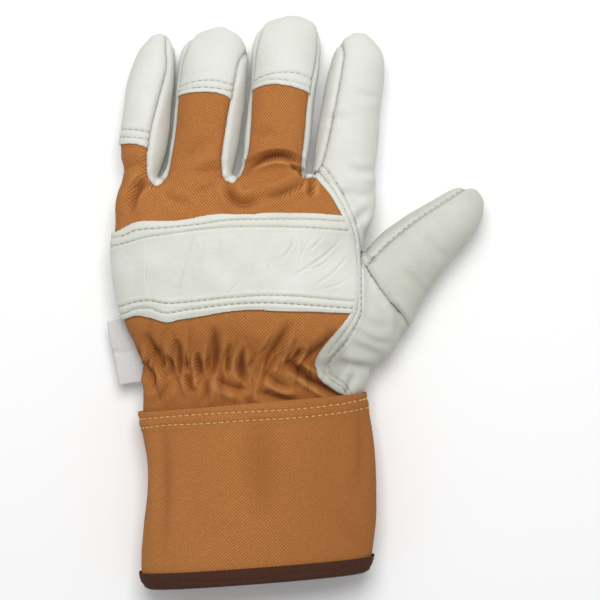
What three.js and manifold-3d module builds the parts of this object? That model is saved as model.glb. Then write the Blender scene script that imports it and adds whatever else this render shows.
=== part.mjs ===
// Insulated leather work glove for the left hand, lying palm down with the back of the hand up.
// Millimetres, +Z up, +Y towards the fingertips, +X towards the thumb. The glove rests on z = 0.
// One hollow padded shell is lofted through sections, then cut along its seams into the sewn pieces.
// The knuckle strap, the cuff, its binding and the side tab are laid on that shell.

import * as THREE from "three";
import Module from "manifold-3d";
import { mergeVertices } from "three/addons/utils/BufferGeometryUtils.js";

const wasm = await Module();
wasm.setup();

// Driving dimensions
const WALL = 3; // leather or canvas with its insulation
const GAP = 0.3; // clearance between neighbouring pieces
const SIDE_SEAM = 10.5; // height of the seam between the back and the palm side
const STRAP_THICK = 1.2;
const LAP_WIDTH = 3.2; // turned leather edge beside the canvas
const HEM_WIDTH = 5.2; // turned hem of a fingertip cap with two rows of stitching
const LAP_RISE = 1;
const CUFF_WALL = 1.6;
const BINDING_THICK = 1;
const TAB_THICK = 0.9;
const SKY = 60; // higher than any point of the glove
const TOP_POWER = 2.3; // roundness of the upper half of a section
const FLOOR_POWER = 3.6; // the lower half is flattened where it rests
const GATHER_FOLDS = 6; // elastic gathers across the back of the wrist

// Sections of each limb, from its root to its tip. Each one stands on the line from its left rail
// point to its right rail point, and runs from the height bottom to the height top.
const COLUMNS = ["xl", "yl", "xr", "yr", "top", "bottom", "gather"];
const table = (rows) =>
  rows.map((row) => Object.fromEntries(COLUMNS.map((name, i) => [name, row[i] ?? 0])));

const HAND = table([
  [-70.6, -60, 30.6, -53, 29, 2.1],
  [-71.6, -50, 31.6, -44.5, 30, 2.0, 0.5],
  [-70.8, -40, 34.4, -37.5, 31.5, 1.2, 1.3],
  [-71.2, -32, 36.4, -31, 30.5, 0.2, 1.7],
  [-74.6, -24, 45, -24.5, 32, -0.7, 1.4],
  [-78.4, -14, 50.2, -15, 34.5, -0.8, 0.6],
  [-80.6, -6, 49, -7, 36, -0.8],
  [-83.8, 7, 41, 6, 37, -0.8],
  [-85.1, 20, 32.6, 19, 37, -0.8],
  [-85.1, 31, 32.6, 31, 36.5, -0.8],
  [-84.5, 43, 37.5, 42, 34.5, -0.8],
  [-82.8, 54, 37.9, 54, 31, -0.8],
  [-81.4, 57.5, 37.5, 61, 27, -0.4],
]);

const FINGERS = {
  little: table([
    [-80, 38, -62, 38, 24, 1],
    [-81.6, 56, -65.6, 55, 24.5, -0.8],
    [-81.6, 66, -61.9, 65, 24.5, -0.8],
    [-82.6, 78, -59.3, 78, 24.5, -0.8],
    [-81, 92, -57.9, 93, 24.5, -0.8],
    [-78.7, 106, -56.5, 107.5, 23.6, -0.6],
    [-74.4, 117.8, -57, 119, 21.3, 0.8],
    [-69.2, 124.4, -59.7, 125.3, 17, 4.4],
  ]),
  ring: table([
    [-62, 38, -32, 38, 27, 1],
    [-64.6, 54, -30.6, 54, 27.5, -0.8],
    [-61.1, 65, -27.2, 64.6, 27, -0.8],
    [-58.2, 79, -25.2, 78, 27, -0.8],
    [-56.7, 94, -23.5, 92, 27, -0.8],
    [-55.4, 109, -21.8, 106, 26.5, -0.6],
    [-52.6, 120, -22, 118, 24.6, 0.7],
    [-46.6, 126.6, -26, 125.4, 20.5, 3.8],
    [-39, 129.5, -32.5, 129.6, 15, 9],
  ]),
  middle: table([
    [-27, 38, 5, 38, 27, 1],
    [-28.8, 54, 4.6, 55, 27.5, -0.8],
    [-25.7, 66, 6.7, 66, 27, -0.8],
    [-24.3, 80, 7.9, 79, 27, -0.8],
    [-22, 94, 8.9, 93, 27, -0.8],
    [-20.6, 110, 11.2, 109, 26.8, -0.6],
    [-19.4, 123, 12.2, 122, 25.2, 0.3],
    [-14.2, 131.8, 9.6, 131.2, 21, 3.6],
    [-5, 135, 2.5, 135.2, 15, 9],
  ]),
  index: table([
    [6, 38, 32, 38, 27, 1],
    [6.4, 54, 37.8, 52, 27.5, -0.8],
    [7.8, 66, 38, 63, 27.1, -0.8],
    [10.1, 79, 39.4, 76, 27, -0.8],
    [13.1, 94, 40.2, 90, 27, -0.8],
    [15.6, 107, 42, 104, 26.7, -0.6],
    [18.4, 117.6, 42, 116, 25, 0.5],
    [23, 124, 38, 122.6, 21.5, 3],
    [27, 126.6, 34.4, 126.4, 16, 8],
  ]),
};
const TIPS = { little: [-64.5, 127.4], ring: [-35.5, 130.2], middle: [-1, 135.6], index: [30.6, 127.6] };

const THUMB = table([
  [21, 10, 38, -14, 25, 1],
  [34.4, 25.6, 53, -13.4, 27.5, -0.8],
  [39.8, 31.4, 57, -5.4, 27.5, -0.8],
  [47, 37, 63, 5, 27.5, -0.8],
  [58.5, 44.4, 73.6, 19.6, 27, -0.8],
  [69.5, 50.6, 83, 30, 26, -0.4],
  [77, 54, 88.2, 38.6, 23, 1.8],
  [83.4, 53.6, 89.2, 45.4, 17.6, 6.4],
]);
const THUMB_TIP = [87.4, 51.2];

const CUFF = table([
  [-69.2, -133.8, 33.7, -125.8, 37.2, 1.3],
  [-72, -127, 36.1, -119, 37.3, 1.3],
  [-71.5, -104, 38.2, -99, 36.6, 1],
  [-69.5, -82, 37.9, -78, 35.3, 0.6],
  [-71.4, -66, 36, -60, 34.4, 0.3],
  [-73.5, -51.8, 33.2, -42.6, 33.5, 0],
]);

// Seam lines on the plan, from above. Each runs past the outline at both of its ends.
const FORKS = {
  fourchette_little_ring: [
    [-60.6, 131], [-60.3, 112], [-64.6, 92], [-69, 73], [-69.2, 60], [-65.4, 53.8], [-60, 59],
    [-55.8, 72], [-53.2, 92], [-51.4, 112], [-47, 121.5], [-41, 132],
  ],
  fourchette_ring_middle: [
    [-27.6, 131], [-25.8, 117], [-29.6, 91], [-33.6, 67], [-32.8, 57], [-29.6, 54.6], [-25.6, 58],
    [-21.6, 72], [-18.8, 92], [-16.8, 114], [-14, 125], [-9, 138],
  ],
  fourchette_middle_index: [
    [4, 138], [8, 121], [5.8, 100], [4, 76], [2.6, 62], [4, 57.6], [7.4, 56.4], [10.4, 59],
    [14, 71.4], [18.4, 92], [22, 110], [25.5, 130],
  ],
};
const LAP_LINE = [
  [6, 56.9], [10.4, 58.4], [17.6, 49], [23.4, 38], [28.4, 23], [29.2, 14], [28.2, 0], [26.2, -6.4],
  [16.2, -19], [10.4, -29], [12, -34], [20.4, -40], [23.4, -44], [24.8, -64],
];
const THUMB_BASE = [
  [34.8, 32], [33.4, 27.4], [32.2, 23], [32.8, 17.6], [42, 3], [51, -8], [60, -20],
];
const THUMB_SEAM = [
  [31.2, 15.4], [41, 24.6], [55, 36], [75.6, 48.6], [82, 53], [88, 60],
];
const CAP_LINES = {
  little_cap: [[-90, 74.4], [-76, 74.4], [-64, 72.4]],
  ring_cap: [[-60, 96.4], [-50, 98.2], [-40, 98.2], [-24, 94.6]],
  middle_cap: [[-24, 99.6], [-14, 102], [-4, 101.9], [11, 98]],
};
const CAP_SEEDS = { little_cap: [-71, 100], ring_cap: [-40, 112], middle_cap: [-3, 118] };
// The raised hem of each cap runs between its side seams, from one x to the other.
const HEM_SPANS = { little_cap: [-90, -69.4], ring_cap: [-52, -30.2], middle_cap: [-16.6, 4.8] };

// The palm piece ends at the roots of the two middle fingers, whose fronts are pieces of their own.
const FRONT_LINES = {
  ring_front: [
    [-59.7, 72], [-62.3, 62], [-63.8, 56], [-58, 51], [-48, 50], [-38, 50.5], [-31, 54.5], [-27.2, 62], [-25.4, 72],
  ],
  middle_front: [
    [-25.4, 72], [-27, 62], [-26, 55.5], [-20, 51], [-12, 50], [-3, 51.5], [3.6, 56], [6.8, 63], [8.2, 73],
  ],
};

const STRAP_OUTLINE = [
  [-95, 31.5], [-84, 33.2], [-79, 35], [-74.5, 37], [-67, 37.7], [-58, 37.4], [-47, 39], [-35, 40.4],
  [-20, 40.9], [0, 41], [14, 40.6], [21.2, 40], [25.4, 30], [27.6, 22], [28.2, 15], [27.8, 7], [27, 0],
  [25, -5.5], [10, -5.2], [-4, -4.3], [-16, -3.6], [-28, -4.2], [-40, -5.8], [-53, -7.6], [-59.5, -9],
  [-65, -7.4], [-73, -6.3], [-79, -8], [-95, -9],
];
const HEM_ZONE = [
  [-95, -127.7], [-50, -127.5], [-20, -126.1], [10, -122.7], [60, -115.5], [60, -150], [-95, -150],
];
const TAB_OUTLINE = [[-89.2, -9.4], [-76, -6.8], [-66, -36.6], [-83, -39.5]];

// Creases pressed into the canvas: start, middle and end on the plan, and depth.
const CREASES = [
  { from: [-17, 66], via: [-5, 71], to: [3, 65.5], depth: 1.5 },
  { from: [-33, 56], via: [-27, 45], to: [-16, 49.5], depth: 1.3 },
  { from: [-36, -34], via: [-20, -39], to: [-8, -46], depth: 1.5 },
  { from: [-2, -28], via: [6, -36], to: [18, -43], depth: 1.6 },
  { from: [0, -11], via: [-9, -20], to: [-14, -29], depth: 1.4 },
];

// Unit steps and lengths on the plan
const minus = (a, b) => [a[0] - b[0], a[1] - b[1]];
const unit = (v) => {
  const length = Math.hypot(...v) || 1;
  return [v[0] / length, v[1] / length];
};
const leftOf = ([x, y]) => [-y, x];

// A closed three.js geometry, merged, as a solid.
function solid(geometry) {
  const bare = geometry.clone();
  bare.deleteAttribute("normal");
  bare.deleteAttribute("uv");
  const merged = mergeVertices(bare, 1e-4);
  const triVerts = new Uint32Array(merged.index.array);
  const make = () =>
    new wasm.Manifold(
      new wasm.Mesh({ numProp: 3, vertProperties: merged.attributes.position.array, triVerts }),
    );
  const made = make();
  if (made.volume() > 0) return made;
  for (let i = 0; i < triVerts.length; i += 3)
    [triVerts[i + 1], triVerts[i + 2]] = [triVerts[i + 2], triVerts[i + 1]];
  return make();
}

// The rails of a limb, moved outwards by offset along their own normals.
function offsetRows(rows, offset) {
  const moved = rows.map((row, i) => {
    const before = rows[Math.max(i - 1, 0)];
    const after = rows[Math.min(i + 1, rows.length - 1)];
    const left = leftOf(unit([after.xl - before.xl, after.yl - before.yl]));
    const right = leftOf(unit([after.xr - before.xr, after.yr - before.yr]));
    return {
      ...row,
      xl: row.xl + offset * left[0],
      yl: row.yl + offset * left[1],
      xr: row.xr - offset * right[0],
      yr: row.yr - offset * right[1],
      top: row.top + offset,
      bottom: row.bottom - offset,
    };
  });
  const narrowest = 4;
  return moved.filter((row, i) => {
    const was = [rows[i].xr - rows[i].xl, rows[i].yr - rows[i].yl];
    const is = [row.xr - row.xl, row.yr - row.yl];
    const width = is[0] * unit(was)[0] + is[1] * unit(was)[1];
    return offset >= 0 || (width > narrowest && row.top - row.bottom > narrowest);
  });
}

// A closed tube through the sections. reach pulls its first section back, tip closes it in a dome,
// and end pushes its last section on, where it has no tip.
function loft(rows, { offset = 0, topSteps = 14, floorSteps = 8, reach = 0, end = 0, tip = null } = {}) {
  const sections = offsetRows(rows, offset);
  const shift = (row, next, distance) => {
    const along = unit([
      (next.xl + next.xr - row.xl - row.xr) / 2,
      (next.yl + next.yr - row.yl - row.yr) / 2,
    ]);
    return {
      ...row,
      xl: row.xl - along[0] * distance,
      yl: row.yl - along[1] * distance,
      xr: row.xr - along[0] * distance,
      yr: row.yr - along[1] * distance,
    };
  };
  const last = sections.length - 1;
  if (reach) sections[0] = shift(sections[0], sections[1], reach);
  if (end) sections[last] = shift(sections[last], sections[last - 1], end);
  const angles = [];
  for (let i = 0; i < topSteps; i++) angles.push((Math.PI * i) / topSteps);
  for (let i = 0; i < floorSteps; i++) angles.push(Math.PI + (Math.PI * i) / floorSteps);
  const round = angles.length;
  const points = [];
  for (const row of sections) {
    const across = unit([row.xr - row.xl, row.yr - row.yl]);
    const half = Math.hypot(row.xr - row.xl, row.yr - row.yl) / 2;
    const centre = [(row.xl + row.xr) / 2, (row.yl + row.yr) / 2];
    const middle = (row.top + row.bottom) / 2;
    for (const angle of angles) {
      const power = 2 / (angle < Math.PI ? TOP_POWER : FLOOR_POWER);
      const c = Math.cos(angle);
      const s = Math.sin(angle);
      const side = half * Math.sign(c) * Math.abs(c) ** power;
      const x = centre[0] + across[0] * side;
      const y = centre[1] + across[1] * side;
      const canvas = THREE.MathUtils.smoothstep(12 - x, 0, 8) * Math.max(s, 0);
      const ripple = row.gather * canvas * Math.cos(2 * GATHER_FOLDS * angle);
      const height = ((row.top - row.bottom) / 2) * Math.sign(s) * Math.abs(s) ** power;
      points.push(x, y, middle + height + ripple);
    }
  }
  const cap = (row) => [(row.xl + row.xr) / 2, (row.yl + row.yr) / 2, (row.top + row.bottom) / 2];
  const root = points.length / 3;
  points.push(...cap(sections[0]));
  const final = cap(sections[last]);
  if (tip && offset >= 0) {
    const out = unit(minus(tip, final));
    final[0] = tip[0] + out[0] * offset;
    final[1] = tip[1] + out[1] * offset;
  }
  points.push(...final);
  const faces = [];
  for (let i = 0; i < last; i++)
    for (let k = 0; k < round; k++) {
      const [a, b] = [i * round + k, i * round + ((k + 1) % round)];
      faces.push(a, b, a + round, b, b + round, a + round);
    }
  for (let k = 0; k < round; k++) {
    const next = (k + 1) % round;
    faces.push(root, next, k);
    faces.push(root + 1, last * round + k, last * round + next);
  }
  const geometry = new THREE.BufferGeometry();
  geometry.setAttribute("position", new THREE.Float32BufferAttribute(points, 3));
  geometry.setIndex(faces);
  return solid(geometry);
}

// An upright prism over an outline on the plan, from z = low to z = high.
function prism(outline, low, high) {
  const shape = new THREE.Shape(outline.map(([x, y]) => new THREE.Vector2(x, y)));
  const geometry = new THREE.ExtrudeGeometry(shape, { depth: high - low, bevelEnabled: false });
  return solid(geometry.translate(0, 0, low));
}

// The outline of a strip that follows a line on the plan, from its offset right to its offset left.
function strip(line, right, left) {
  const side = (distance) =>
    line.map((point, i) => {
      const before = line[Math.max(i - 1, 0)];
      const after = line[Math.min(i + 1, line.length - 1)];
      const normal = leftOf(unit(minus(after, before)));
      return [point[0] + normal[0] * distance, point[1] + normal[1] * distance];
    });
  return [...side(right), ...side(left).reverse()];
}

// A thin upright sheet along a seam line, as wide as the gap between two pieces.
const seam = (line, low = SIDE_SEAM - GAP, high = SKY) => prism(strip(line, -GAP / 2, GAP / 2), low, high);

const floor = (low) => solid(new THREE.BoxGeometry(400, 400, 100).translate(0, 0, low + 50));

const HAND_STEPS = { topSteps: 26, floorSteps: 6 };

// The whole glove's skin, moved outwards by offset, with the wrist end open inwards.
function skin(offset, { inner = false } = {}) {
  const steps = inner ? { topSteps: 6, floorSteps: 4 } : { topSteps: 8, floorSteps: 4 };
  const handSteps = inner ? { topSteps: 10, floorSteps: 4 } : HAND_STEPS;
  const rows = inner ? HAND.map((row) => ({ ...row, gather: 0 })) : HAND;
  let whole = loft(rows, { ...handSteps, offset, reach: inner ? 6 : 0 });
  for (const [name, finger] of Object.entries(FINGERS))
    whole = whole.add(loft(finger, { ...steps, offset, tip: TIPS[name] }));
  return whole.add(loft(THUMB, { ...steps, offset, tip: THUMB_TIP }));
}

// The height of the hand's skin over a point of the plan.
function heightAt(x, y, rows = HAND) {
  const level = (row) => (row.yl + row.yr) / 2;
  const i = Math.max(1, rows.findIndex((row) => level(row) >= y));
  const share = (y - level(rows[i - 1])) / (level(rows[i]) - level(rows[i - 1]));
  const mix = (name) => THREE.MathUtils.lerp(rows[i - 1][name], rows[i][name], share);
  const across = Math.min(Math.abs((2 * x - mix("xl") - mix("xr")) / (mix("xr") - mix("xl"))), 1);
  const half = (mix("top") - mix("bottom")) / 2;
  return mix("bottom") + half + half * (1 - across ** TOP_POWER) ** (1 / TOP_POWER);
}

// A crease: a four-sided bar swept along the skin, which is cut away.
function creaseCutter({ from, via, to, depth }) {
  const finger = via[1] > 60 ? FINGERS.middle : HAND;
  const on = ([x, y]) => new THREE.Vector3(x, y, heightAt(x, y, finger) + 0.1);
  const ends = on(via).multiplyScalar(2).sub(on(from).add(on(to)).multiplyScalar(0.5));
  const path = new THREE.QuadraticBezierCurve3(on(from), ends, on(to));
  const bar = new THREE.Shape([
    new THREE.Vector2(0, depth),
    new THREE.Vector2(depth, 0),
    new THREE.Vector2(0, -depth),
    new THREE.Vector2(-depth, 0),
  ]);
  return solid(new THREE.ExtrudeGeometry(bar, { steps: 3, bevelEnabled: false, extrudePath: path }));
}

// The shell, open at the wrist, flat where it rests
const ground = floor(0);
const outside = skin(0).intersect(ground);
const inside = skin(-WALL, { inner: true }).intersect(floor(WALL));
const shell = outside.subtract(inside);

// The side seam lies level, and runs only where two pieces meet at the side.
const sideSeamLeft = [
  [-100, -70], [-100, 145], [31.4, 145], [31, 128], [29.6, 112], [26.6, 94], [24, 78], [21.6, 62], [18, 50], [2, 46], [-4, -70],
];
const sideSeamThumb = [
  [36, 2], [48, 10.5], [58, 20.4], [66, 31], [72, 42], [79, 57], [98, 62], [104, -10], [56, -18.5], [50, -9.5],
];
const level = (outline) => prism(outline, SIDE_SEAM - GAP / 2, SIDE_SEAM + GAP / 2);

let cut = shell
  .subtract(level(sideSeamLeft))
  .subtract(level(sideSeamThumb))
  .subtract(seam(LAP_LINE))
  .subtract(seam(THUMB_BASE, -5))
  .subtract(seam(THUMB_SEAM));
for (const line of Object.values(FORKS)) cut = cut.subtract(seam(line));
for (const line of Object.values(FRONT_LINES)) cut = cut.subtract(seam(line, -5, SIDE_SEAM));

// The piece of a cut shell over a seed on the plan, above or below the side seam.
const sheets = cut.decompose();
function pieceAt([x, y], upper, among = sheets) {
  const [low, high] = upper ? [SIDE_SEAM + GAP, SKY] : [-1, WALL];
  const probe = solid(new THREE.BoxGeometry(1, 1, high - low).translate(x, y, (low + high) / 2));
  return among.reduce((best, candidate) =>
    candidate.intersect(probe).volume() > best.intersect(probe).volume() ? candidate : best,
  );
}

// The back: canvas, and a leather cap over each of three fingertips with its turned hem
let back = pieceAt([-20, 20], true);
for (const line of Object.values(CAP_LINES)) back = back.subtract(seam(line));
for (const crease of CREASES) back = back.subtract(creaseCutter(crease));
const backSheets = back.decompose();
const raised = skin(LAP_RISE).subtract(skin(-1)).intersect(floor(SIDE_SEAM + GAP));
const caps = Object.entries(CAP_LINES).map(([name, line]) => {
  const [from, to] = HEM_SPANS[name];
  const between = [[from, 60], [to, 60], [to, 120], [from, 120]];
  const hem = raised.intersect(prism(strip(line, GAP / 2, HEM_WIDTH), 0, SKY)).intersect(prism(between, 0, SKY));
  return [name, pieceAt(CAP_SEEDS[name], true, backSheets).add(hem)];
});

// The palm, with the index finger, the side of the hand and its turned edge along the back
const lapInside = [...LAP_LINE.slice(2, -4)];
const lapBand = raised.intersect(prism(strip(lapInside, GAP / 2, LAP_WIDTH), 0, SKY));
const palm = pieceAt([0, 0], false).add(lapBand);

// The knuckle strap lies on the canvas from the side seam to the turned edge.
const handLoft = (offset) => loft(HAND, { ...HAND_STEPS, offset });
const strap = handLoft(GAP + STRAP_THICK)
  .subtract(handLoft(GAP))
  .intersect(prism(STRAP_OUTLINE, SIDE_SEAM + GAP, SKY));

// The cuff laps over the wrist and is bound at its hem.
const cuffSteps = { topSteps: 16, floorSteps: 6 };
const hand = skin(GAP);
const cuff = loft(CUFF, cuffSteps)
  .subtract(loft(CUFF, { ...cuffSteps, offset: -CUFF_WALL, reach: 8, end: 8 }))
  .subtract(hand)
  .intersect(ground);
const cuffAt = (offset, ends) => loft(CUFF, { ...cuffSteps, offset, reach: ends, end: 8 });
const slot = cuffAt(GAP, GAP).subtract(cuffAt(-CUFF_WALL - GAP, 9));
const binding = cuffAt(GAP + BINDING_THICK, GAP + BINDING_THICK)
  .subtract(cuffAt(-CUFF_WALL - GAP - BINDING_THICK, 9))
  .subtract(slot)
  .intersect(prism(HEM_ZONE, 0, SKY));

// The plain woven tab is caught in the side seam.
const tab = prism(TAB_OUTLINE, SIDE_SEAM - TAB_THICK, SIDE_SEAM).subtract(hand);

const LEATHER = { color: 0xe2e4dc, roughness: 0.55 };
const CANVAS = { color: 0xb67744, roughness: 0.9 };
const material = (settings) => new THREE.MeshStandardMaterial({ metalness: 0, ...settings });
const leather = material(LEATHER);
const canvas = material(CANVAS);
const tape = material({ color: 0x452a22, roughness: 0.8 });
const satin = material({ color: 0xc9c9c7, roughness: 0.5 });

const glove = new THREE.Group();
function addNode(name, piece, look) {
  const found = piece.decompose().sort((a, b) => b.volume() - a.volume())[0].getMesh();
  const geometry = new THREE.BufferGeometry();
  geometry.setAttribute("position", new THREE.BufferAttribute(found.vertProperties, 3));
  geometry.setIndex(new THREE.BufferAttribute(found.triVerts, 1));
  geometry.computeVertexNormals();
  const mesh = new THREE.Mesh(geometry, look);
  mesh.name = name;
  glove.add(mesh);
}

addNode("back_canvas", pieceAt([-20, 20], true, backSheets), canvas);
for (const [name, cap] of caps) addNode(name, cap, leather);
addNode("fourchette_little_ring", pieceAt([-65, 56.5], true), leather);
addNode("fourchette_ring_middle", pieceAt([-30, 57], true), leather);
addNode("fourchette_middle_index", pieceAt([13.5, 84], true), leather);
addNode("palm", palm, leather);
addNode("ring_front", pieceAt([-42, 80], false), leather);
addNode("middle_front", pieceAt([-8, 80], false), leather);
addNode("thumb_back", pieceAt([62, 24], true), leather);
addNode("thumb_front", pieceAt([62, 24], false), leather);
addNode("knuckle_strap", strap, leather);
addNode("cuff", cuff, canvas);
addNode("cuff_binding", binding, tape);
addNode("side_tab", tab, satin);

export default glove;
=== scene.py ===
# %% [markdown]
# An insulated leather work glove, lying palm down. The real one is cut from cream cowhide and tan duck
# canvas, sewn inside out and turned, so its seams sink into small valleys. The leather palm, index finger
# and thumb face the work. The back is canvas, with leather fingertip caps and a leather strap across the
# knuckles, elastic at the wrist, and a stiff bound cuff that opens wide enough to shake the glove off.
#
# The engineering model arrives first, as a fixed frame. Everything made here is in its space: metres,
# +Y to the fingertips, +X to the thumb, +Z up.

# %% Load the frame
import math

import bmesh
import bpy
import numpy as np
from mathutils import Matrix, Vector, noise
from mathutils.bvhtree import BVHTree
from mathutils.kdtree import KDTree


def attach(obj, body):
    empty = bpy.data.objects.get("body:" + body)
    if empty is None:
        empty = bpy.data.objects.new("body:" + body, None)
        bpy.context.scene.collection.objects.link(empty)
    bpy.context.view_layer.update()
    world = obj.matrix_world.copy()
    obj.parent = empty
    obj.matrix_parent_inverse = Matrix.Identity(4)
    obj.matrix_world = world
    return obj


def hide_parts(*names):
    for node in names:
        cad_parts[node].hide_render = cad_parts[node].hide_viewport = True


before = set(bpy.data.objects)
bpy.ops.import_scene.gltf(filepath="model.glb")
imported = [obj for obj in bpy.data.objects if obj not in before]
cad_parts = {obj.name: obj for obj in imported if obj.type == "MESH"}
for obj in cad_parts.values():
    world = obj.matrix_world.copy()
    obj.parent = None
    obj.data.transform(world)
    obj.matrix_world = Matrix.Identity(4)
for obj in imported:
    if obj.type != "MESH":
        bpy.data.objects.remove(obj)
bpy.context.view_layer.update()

MM = 0.001

# %% [markdown]
# A sewn glove is easiest to shape as limbs. Each limb is a tube through a few flattened ovals, one row of
# a table for each: where its left and right edges lie on the plan, and how high it stands. The rows are
# few, and a Catmull-Rom curve runs smoothly through them, as a pattern cutter's curve does.

# %% Sections of the limbs, in millimetres
# Each row: x and y of the left edge, x and y of the right edge, the top and the bottom.
HAND = [
    (-70.2, -70, 30.2, -63, 28.5, 2.3),
    (-70.6, -60, 30.6, -53, 29, 2.1),
    (-71.6, -50, 31.6, -44.5, 30, 2.0),
    (-70.8, -40, 34.4, -37.5, 31.5, 1.2),
    (-71.2, -32, 36.4, -31, 30.5, 0.2),
    (-74.6, -24, 45, -24.5, 32, -0.7),
    (-78.4, -14, 50.2, -15, 34.5, -0.8),
    (-80.6, -6, 49, -7, 36, -0.8),
    (-83.8, 7, 41, 6, 37, -0.8),
    (-85.1, 20, 32.6, 19, 37, -0.8),
    (-85.1, 31, 32.6, 31, 36.5, -0.8),
    (-84.5, 43, 37.5, 42, 34.5, -0.8),
    (-82.8, 54, 37.9, 54, 31, -0.8),
    (-81.4, 57.5, 37.5, 61, 27, -0.4),
]
LITTLE = [
    (-80, 38, -62, 38, 24, 1),
    (-81.6, 56, -65.6, 55, 24.5, -0.8),
    (-81.6, 66, -62.7, 65, 24.5, -0.8),
    (-82.6, 78, -60.3, 78, 24.5, -0.8),
    (-81, 92, -58.9, 93, 24.5, -0.8),
    (-78.7, 106, -57.5, 107.5, 23.6, -0.6),
    (-74.4, 117.8, -57.6, 119, 21.3, 0.8),
    (-69.2, 124.4, -59.7, 125.3, 17, 4.4),
]
RING = [
    (-62, 38, -32, 38, 27, 1),
    (-64.6, 54, -30.6, 54, 27.5, -0.8),
    (-60, 65, -28.3, 64.6, 27, -0.8),
    (-57.2, 79, -26.4, 78, 27, -0.8),
    (-55.8, 94, -24.5, 92, 27, -0.8),
    (-54.4, 109, -23, 106, 26.5, -0.6),
    (-52.4, 120, -22.9, 118, 24.6, 0.7),
    (-46.6, 126.6, -26, 125.4, 20.5, 3.8),
    (-39, 129.5, -32.5, 129.6, 15, 9),
]
MIDDLE = [
    (-27, 38, 5, 38, 27, 1),
    (-28.8, 54, 4.6, 55, 27.5, -0.8),
    (-24.9, 66, 5.8, 66, 27, -0.8),
    (-23.3, 80, 7.5, 79, 27, -0.8),
    (-21.3, 94, 8.9, 93, 27, -0.8),
    (-19.9, 110, 11.2, 109, 26.8, -0.6),
    (-19.4, 123, 12.2, 122, 25.2, 0.3),
    (-14.2, 131.8, 9.6, 131.2, 21, 3.6),
    (-5, 135, 2.5, 135.2, 15, 9),
]
INDEX = [
    (6, 38, 32, 38, 27, 1),
    (6.4, 54, 37.8, 52, 27.5, -0.8),
    (8.8, 66, 38, 63, 27.1, -0.8),
    (10.5, 79, 39.4, 76, 27, -0.8),
    (13.1, 94, 40.2, 90, 27, -0.8),
    (15.6, 107, 42, 104, 26.7, -0.6),
    (18.4, 117.6, 42, 116, 25, 0.5),
    (23, 124, 38, 122.6, 21.5, 3),
    (27, 126.6, 34.4, 126.4, 16, 8),
]
THUMB = [
    (21, 10, 38, -14, 25, 1),
    (34.4, 25.6, 53, -13.4, 27.5, -0.8),
    (39.8, 31.4, 57, -5.4, 27.5, -0.8),
    (47, 37, 63, 5, 27.5, -0.8),
    (58.5, 44.4, 73.6, 19.6, 27, -0.8),
    (69.5, 50.6, 83, 30, 26, -0.4),
    (77, 54, 88.2, 38.6, 23, 1.8),
    (83.4, 53.6, 89.2, 45.4, 17.6, 6.4),
]
TIPS = {"little": (-64.5, 127.2), "ring": (-35.5, 130.2), "middle": (-1, 135.5), "index": (30.6, 127.4)}
THUMB_TIP = (87.4, 51.2)
CUFF = [
    (-69.2, -133.8, 33.7, -125.8, 37.2, 1.3),
    (-72, -127, 36.1, -119, 37.3, 1.3),
    (-71.5, -104, 38.2, -99, 36.6, 1),
    (-69.5, -82, 37.9, -78, 35.3, 0.6),
    (-71.4, -66, 36, -60, 34.4, 0.3),
    (-73.5, -51.8, 33.2, -42.6, 33.5, 0),
]
TOP_POWER = 2.3  # roundness of the upper half of an oval
FLOOR_POWER = 3.6  # the lower half is flattened where it rests
DOME = (0.4, 0.7, 0.88, 0.97)  # where the rings of a domed tip lie, as shares of its length


def through(rows, step):
    """Values along the Catmull-Rom curve through the rows, about one step apart on the plan."""
    rows = np.array(rows, float)
    padded = np.vstack([2 * rows[0] - rows[1], rows, 2 * rows[-1] - rows[-2]])
    result = []
    for i in range(1, len(rows)):
        a, b, c, d = padded[i - 1 : i + 3]
        length = np.linalg.norm((c - b)[:2])
        square = 2 * a - 5 * b + 4 * c - d
        cube = 3 * b - a - 3 * c + d
        for t in np.arange(0, 1, step / max(length, step)):
            result.append(0.5 * (2 * b + (c - a) * t + square * t**2 + cube * t**3))
    result.append(rows[-1])
    return np.array(result)


def oval(bm, row, around, grow=0.0):
    """One flattened oval, and the edges of its ring."""
    xl, yl, xr, yr, top, bottom = row
    across = Vector((xr - xl, yr - yl, 0))
    half = across.length / 2 + grow
    across.normalize()
    centre = Vector(((xl + xr) / 2, (yl + yr) / 2, (top + bottom) / 2))
    half_height = (top - bottom) / 2 + grow
    ring = bmesh.ops.create_circle(bm, segments=around, radius=1)["verts"]
    for vert in ring:
        c, s = vert.co.x, vert.co.y
        power = 2 / (TOP_POWER if s > 0 else FLOOR_POWER)
        side = half * math.copysign(abs(c) ** power, c)
        height = half_height * math.copysign(abs(s) ** power, s)
        vert.co = (centre + across * side + Vector((0, 0, height))) * MM
    return list(dict.fromkeys(edge for vert in ring for edge in vert.link_edges))


def limb(bm, rows, tip=None, around=64, step=2.0):
    """A closed tube through the rows, with a domed tip."""
    sections = list(through(rows, step))
    if tip:
        last = sections[-1]
        middle = (last[4] + last[5]) / 2
        for share in DOME:
            left = math.sqrt(1 - share**2)
            x, y = (last[0] + last[2]) / 2, (last[1] + last[3]) / 2
            cx, cy = x + (tip[0] - x) * share, y + (tip[1] - y) * share
            sections.append(
                [
                    cx + (last[0] - x) * left,
                    cy + (last[1] - y) * left,
                    cx + (last[2] - x) * left,
                    cy + (last[3] - y) * left,
                    middle + (last[4] - middle) * left,
                    middle + (last[5] - middle) * left,
                ]
            )
    rings = [oval(bm, row, around) for row in sections]
    for one, other in zip(rings, rings[1:]):
        bmesh.ops.bridge_loops(bm, edges=one + other)
    for ring in (rings[0], rings[-1]):
        bmesh.ops.edgeloop_fill(bm, edges=ring)


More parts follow.
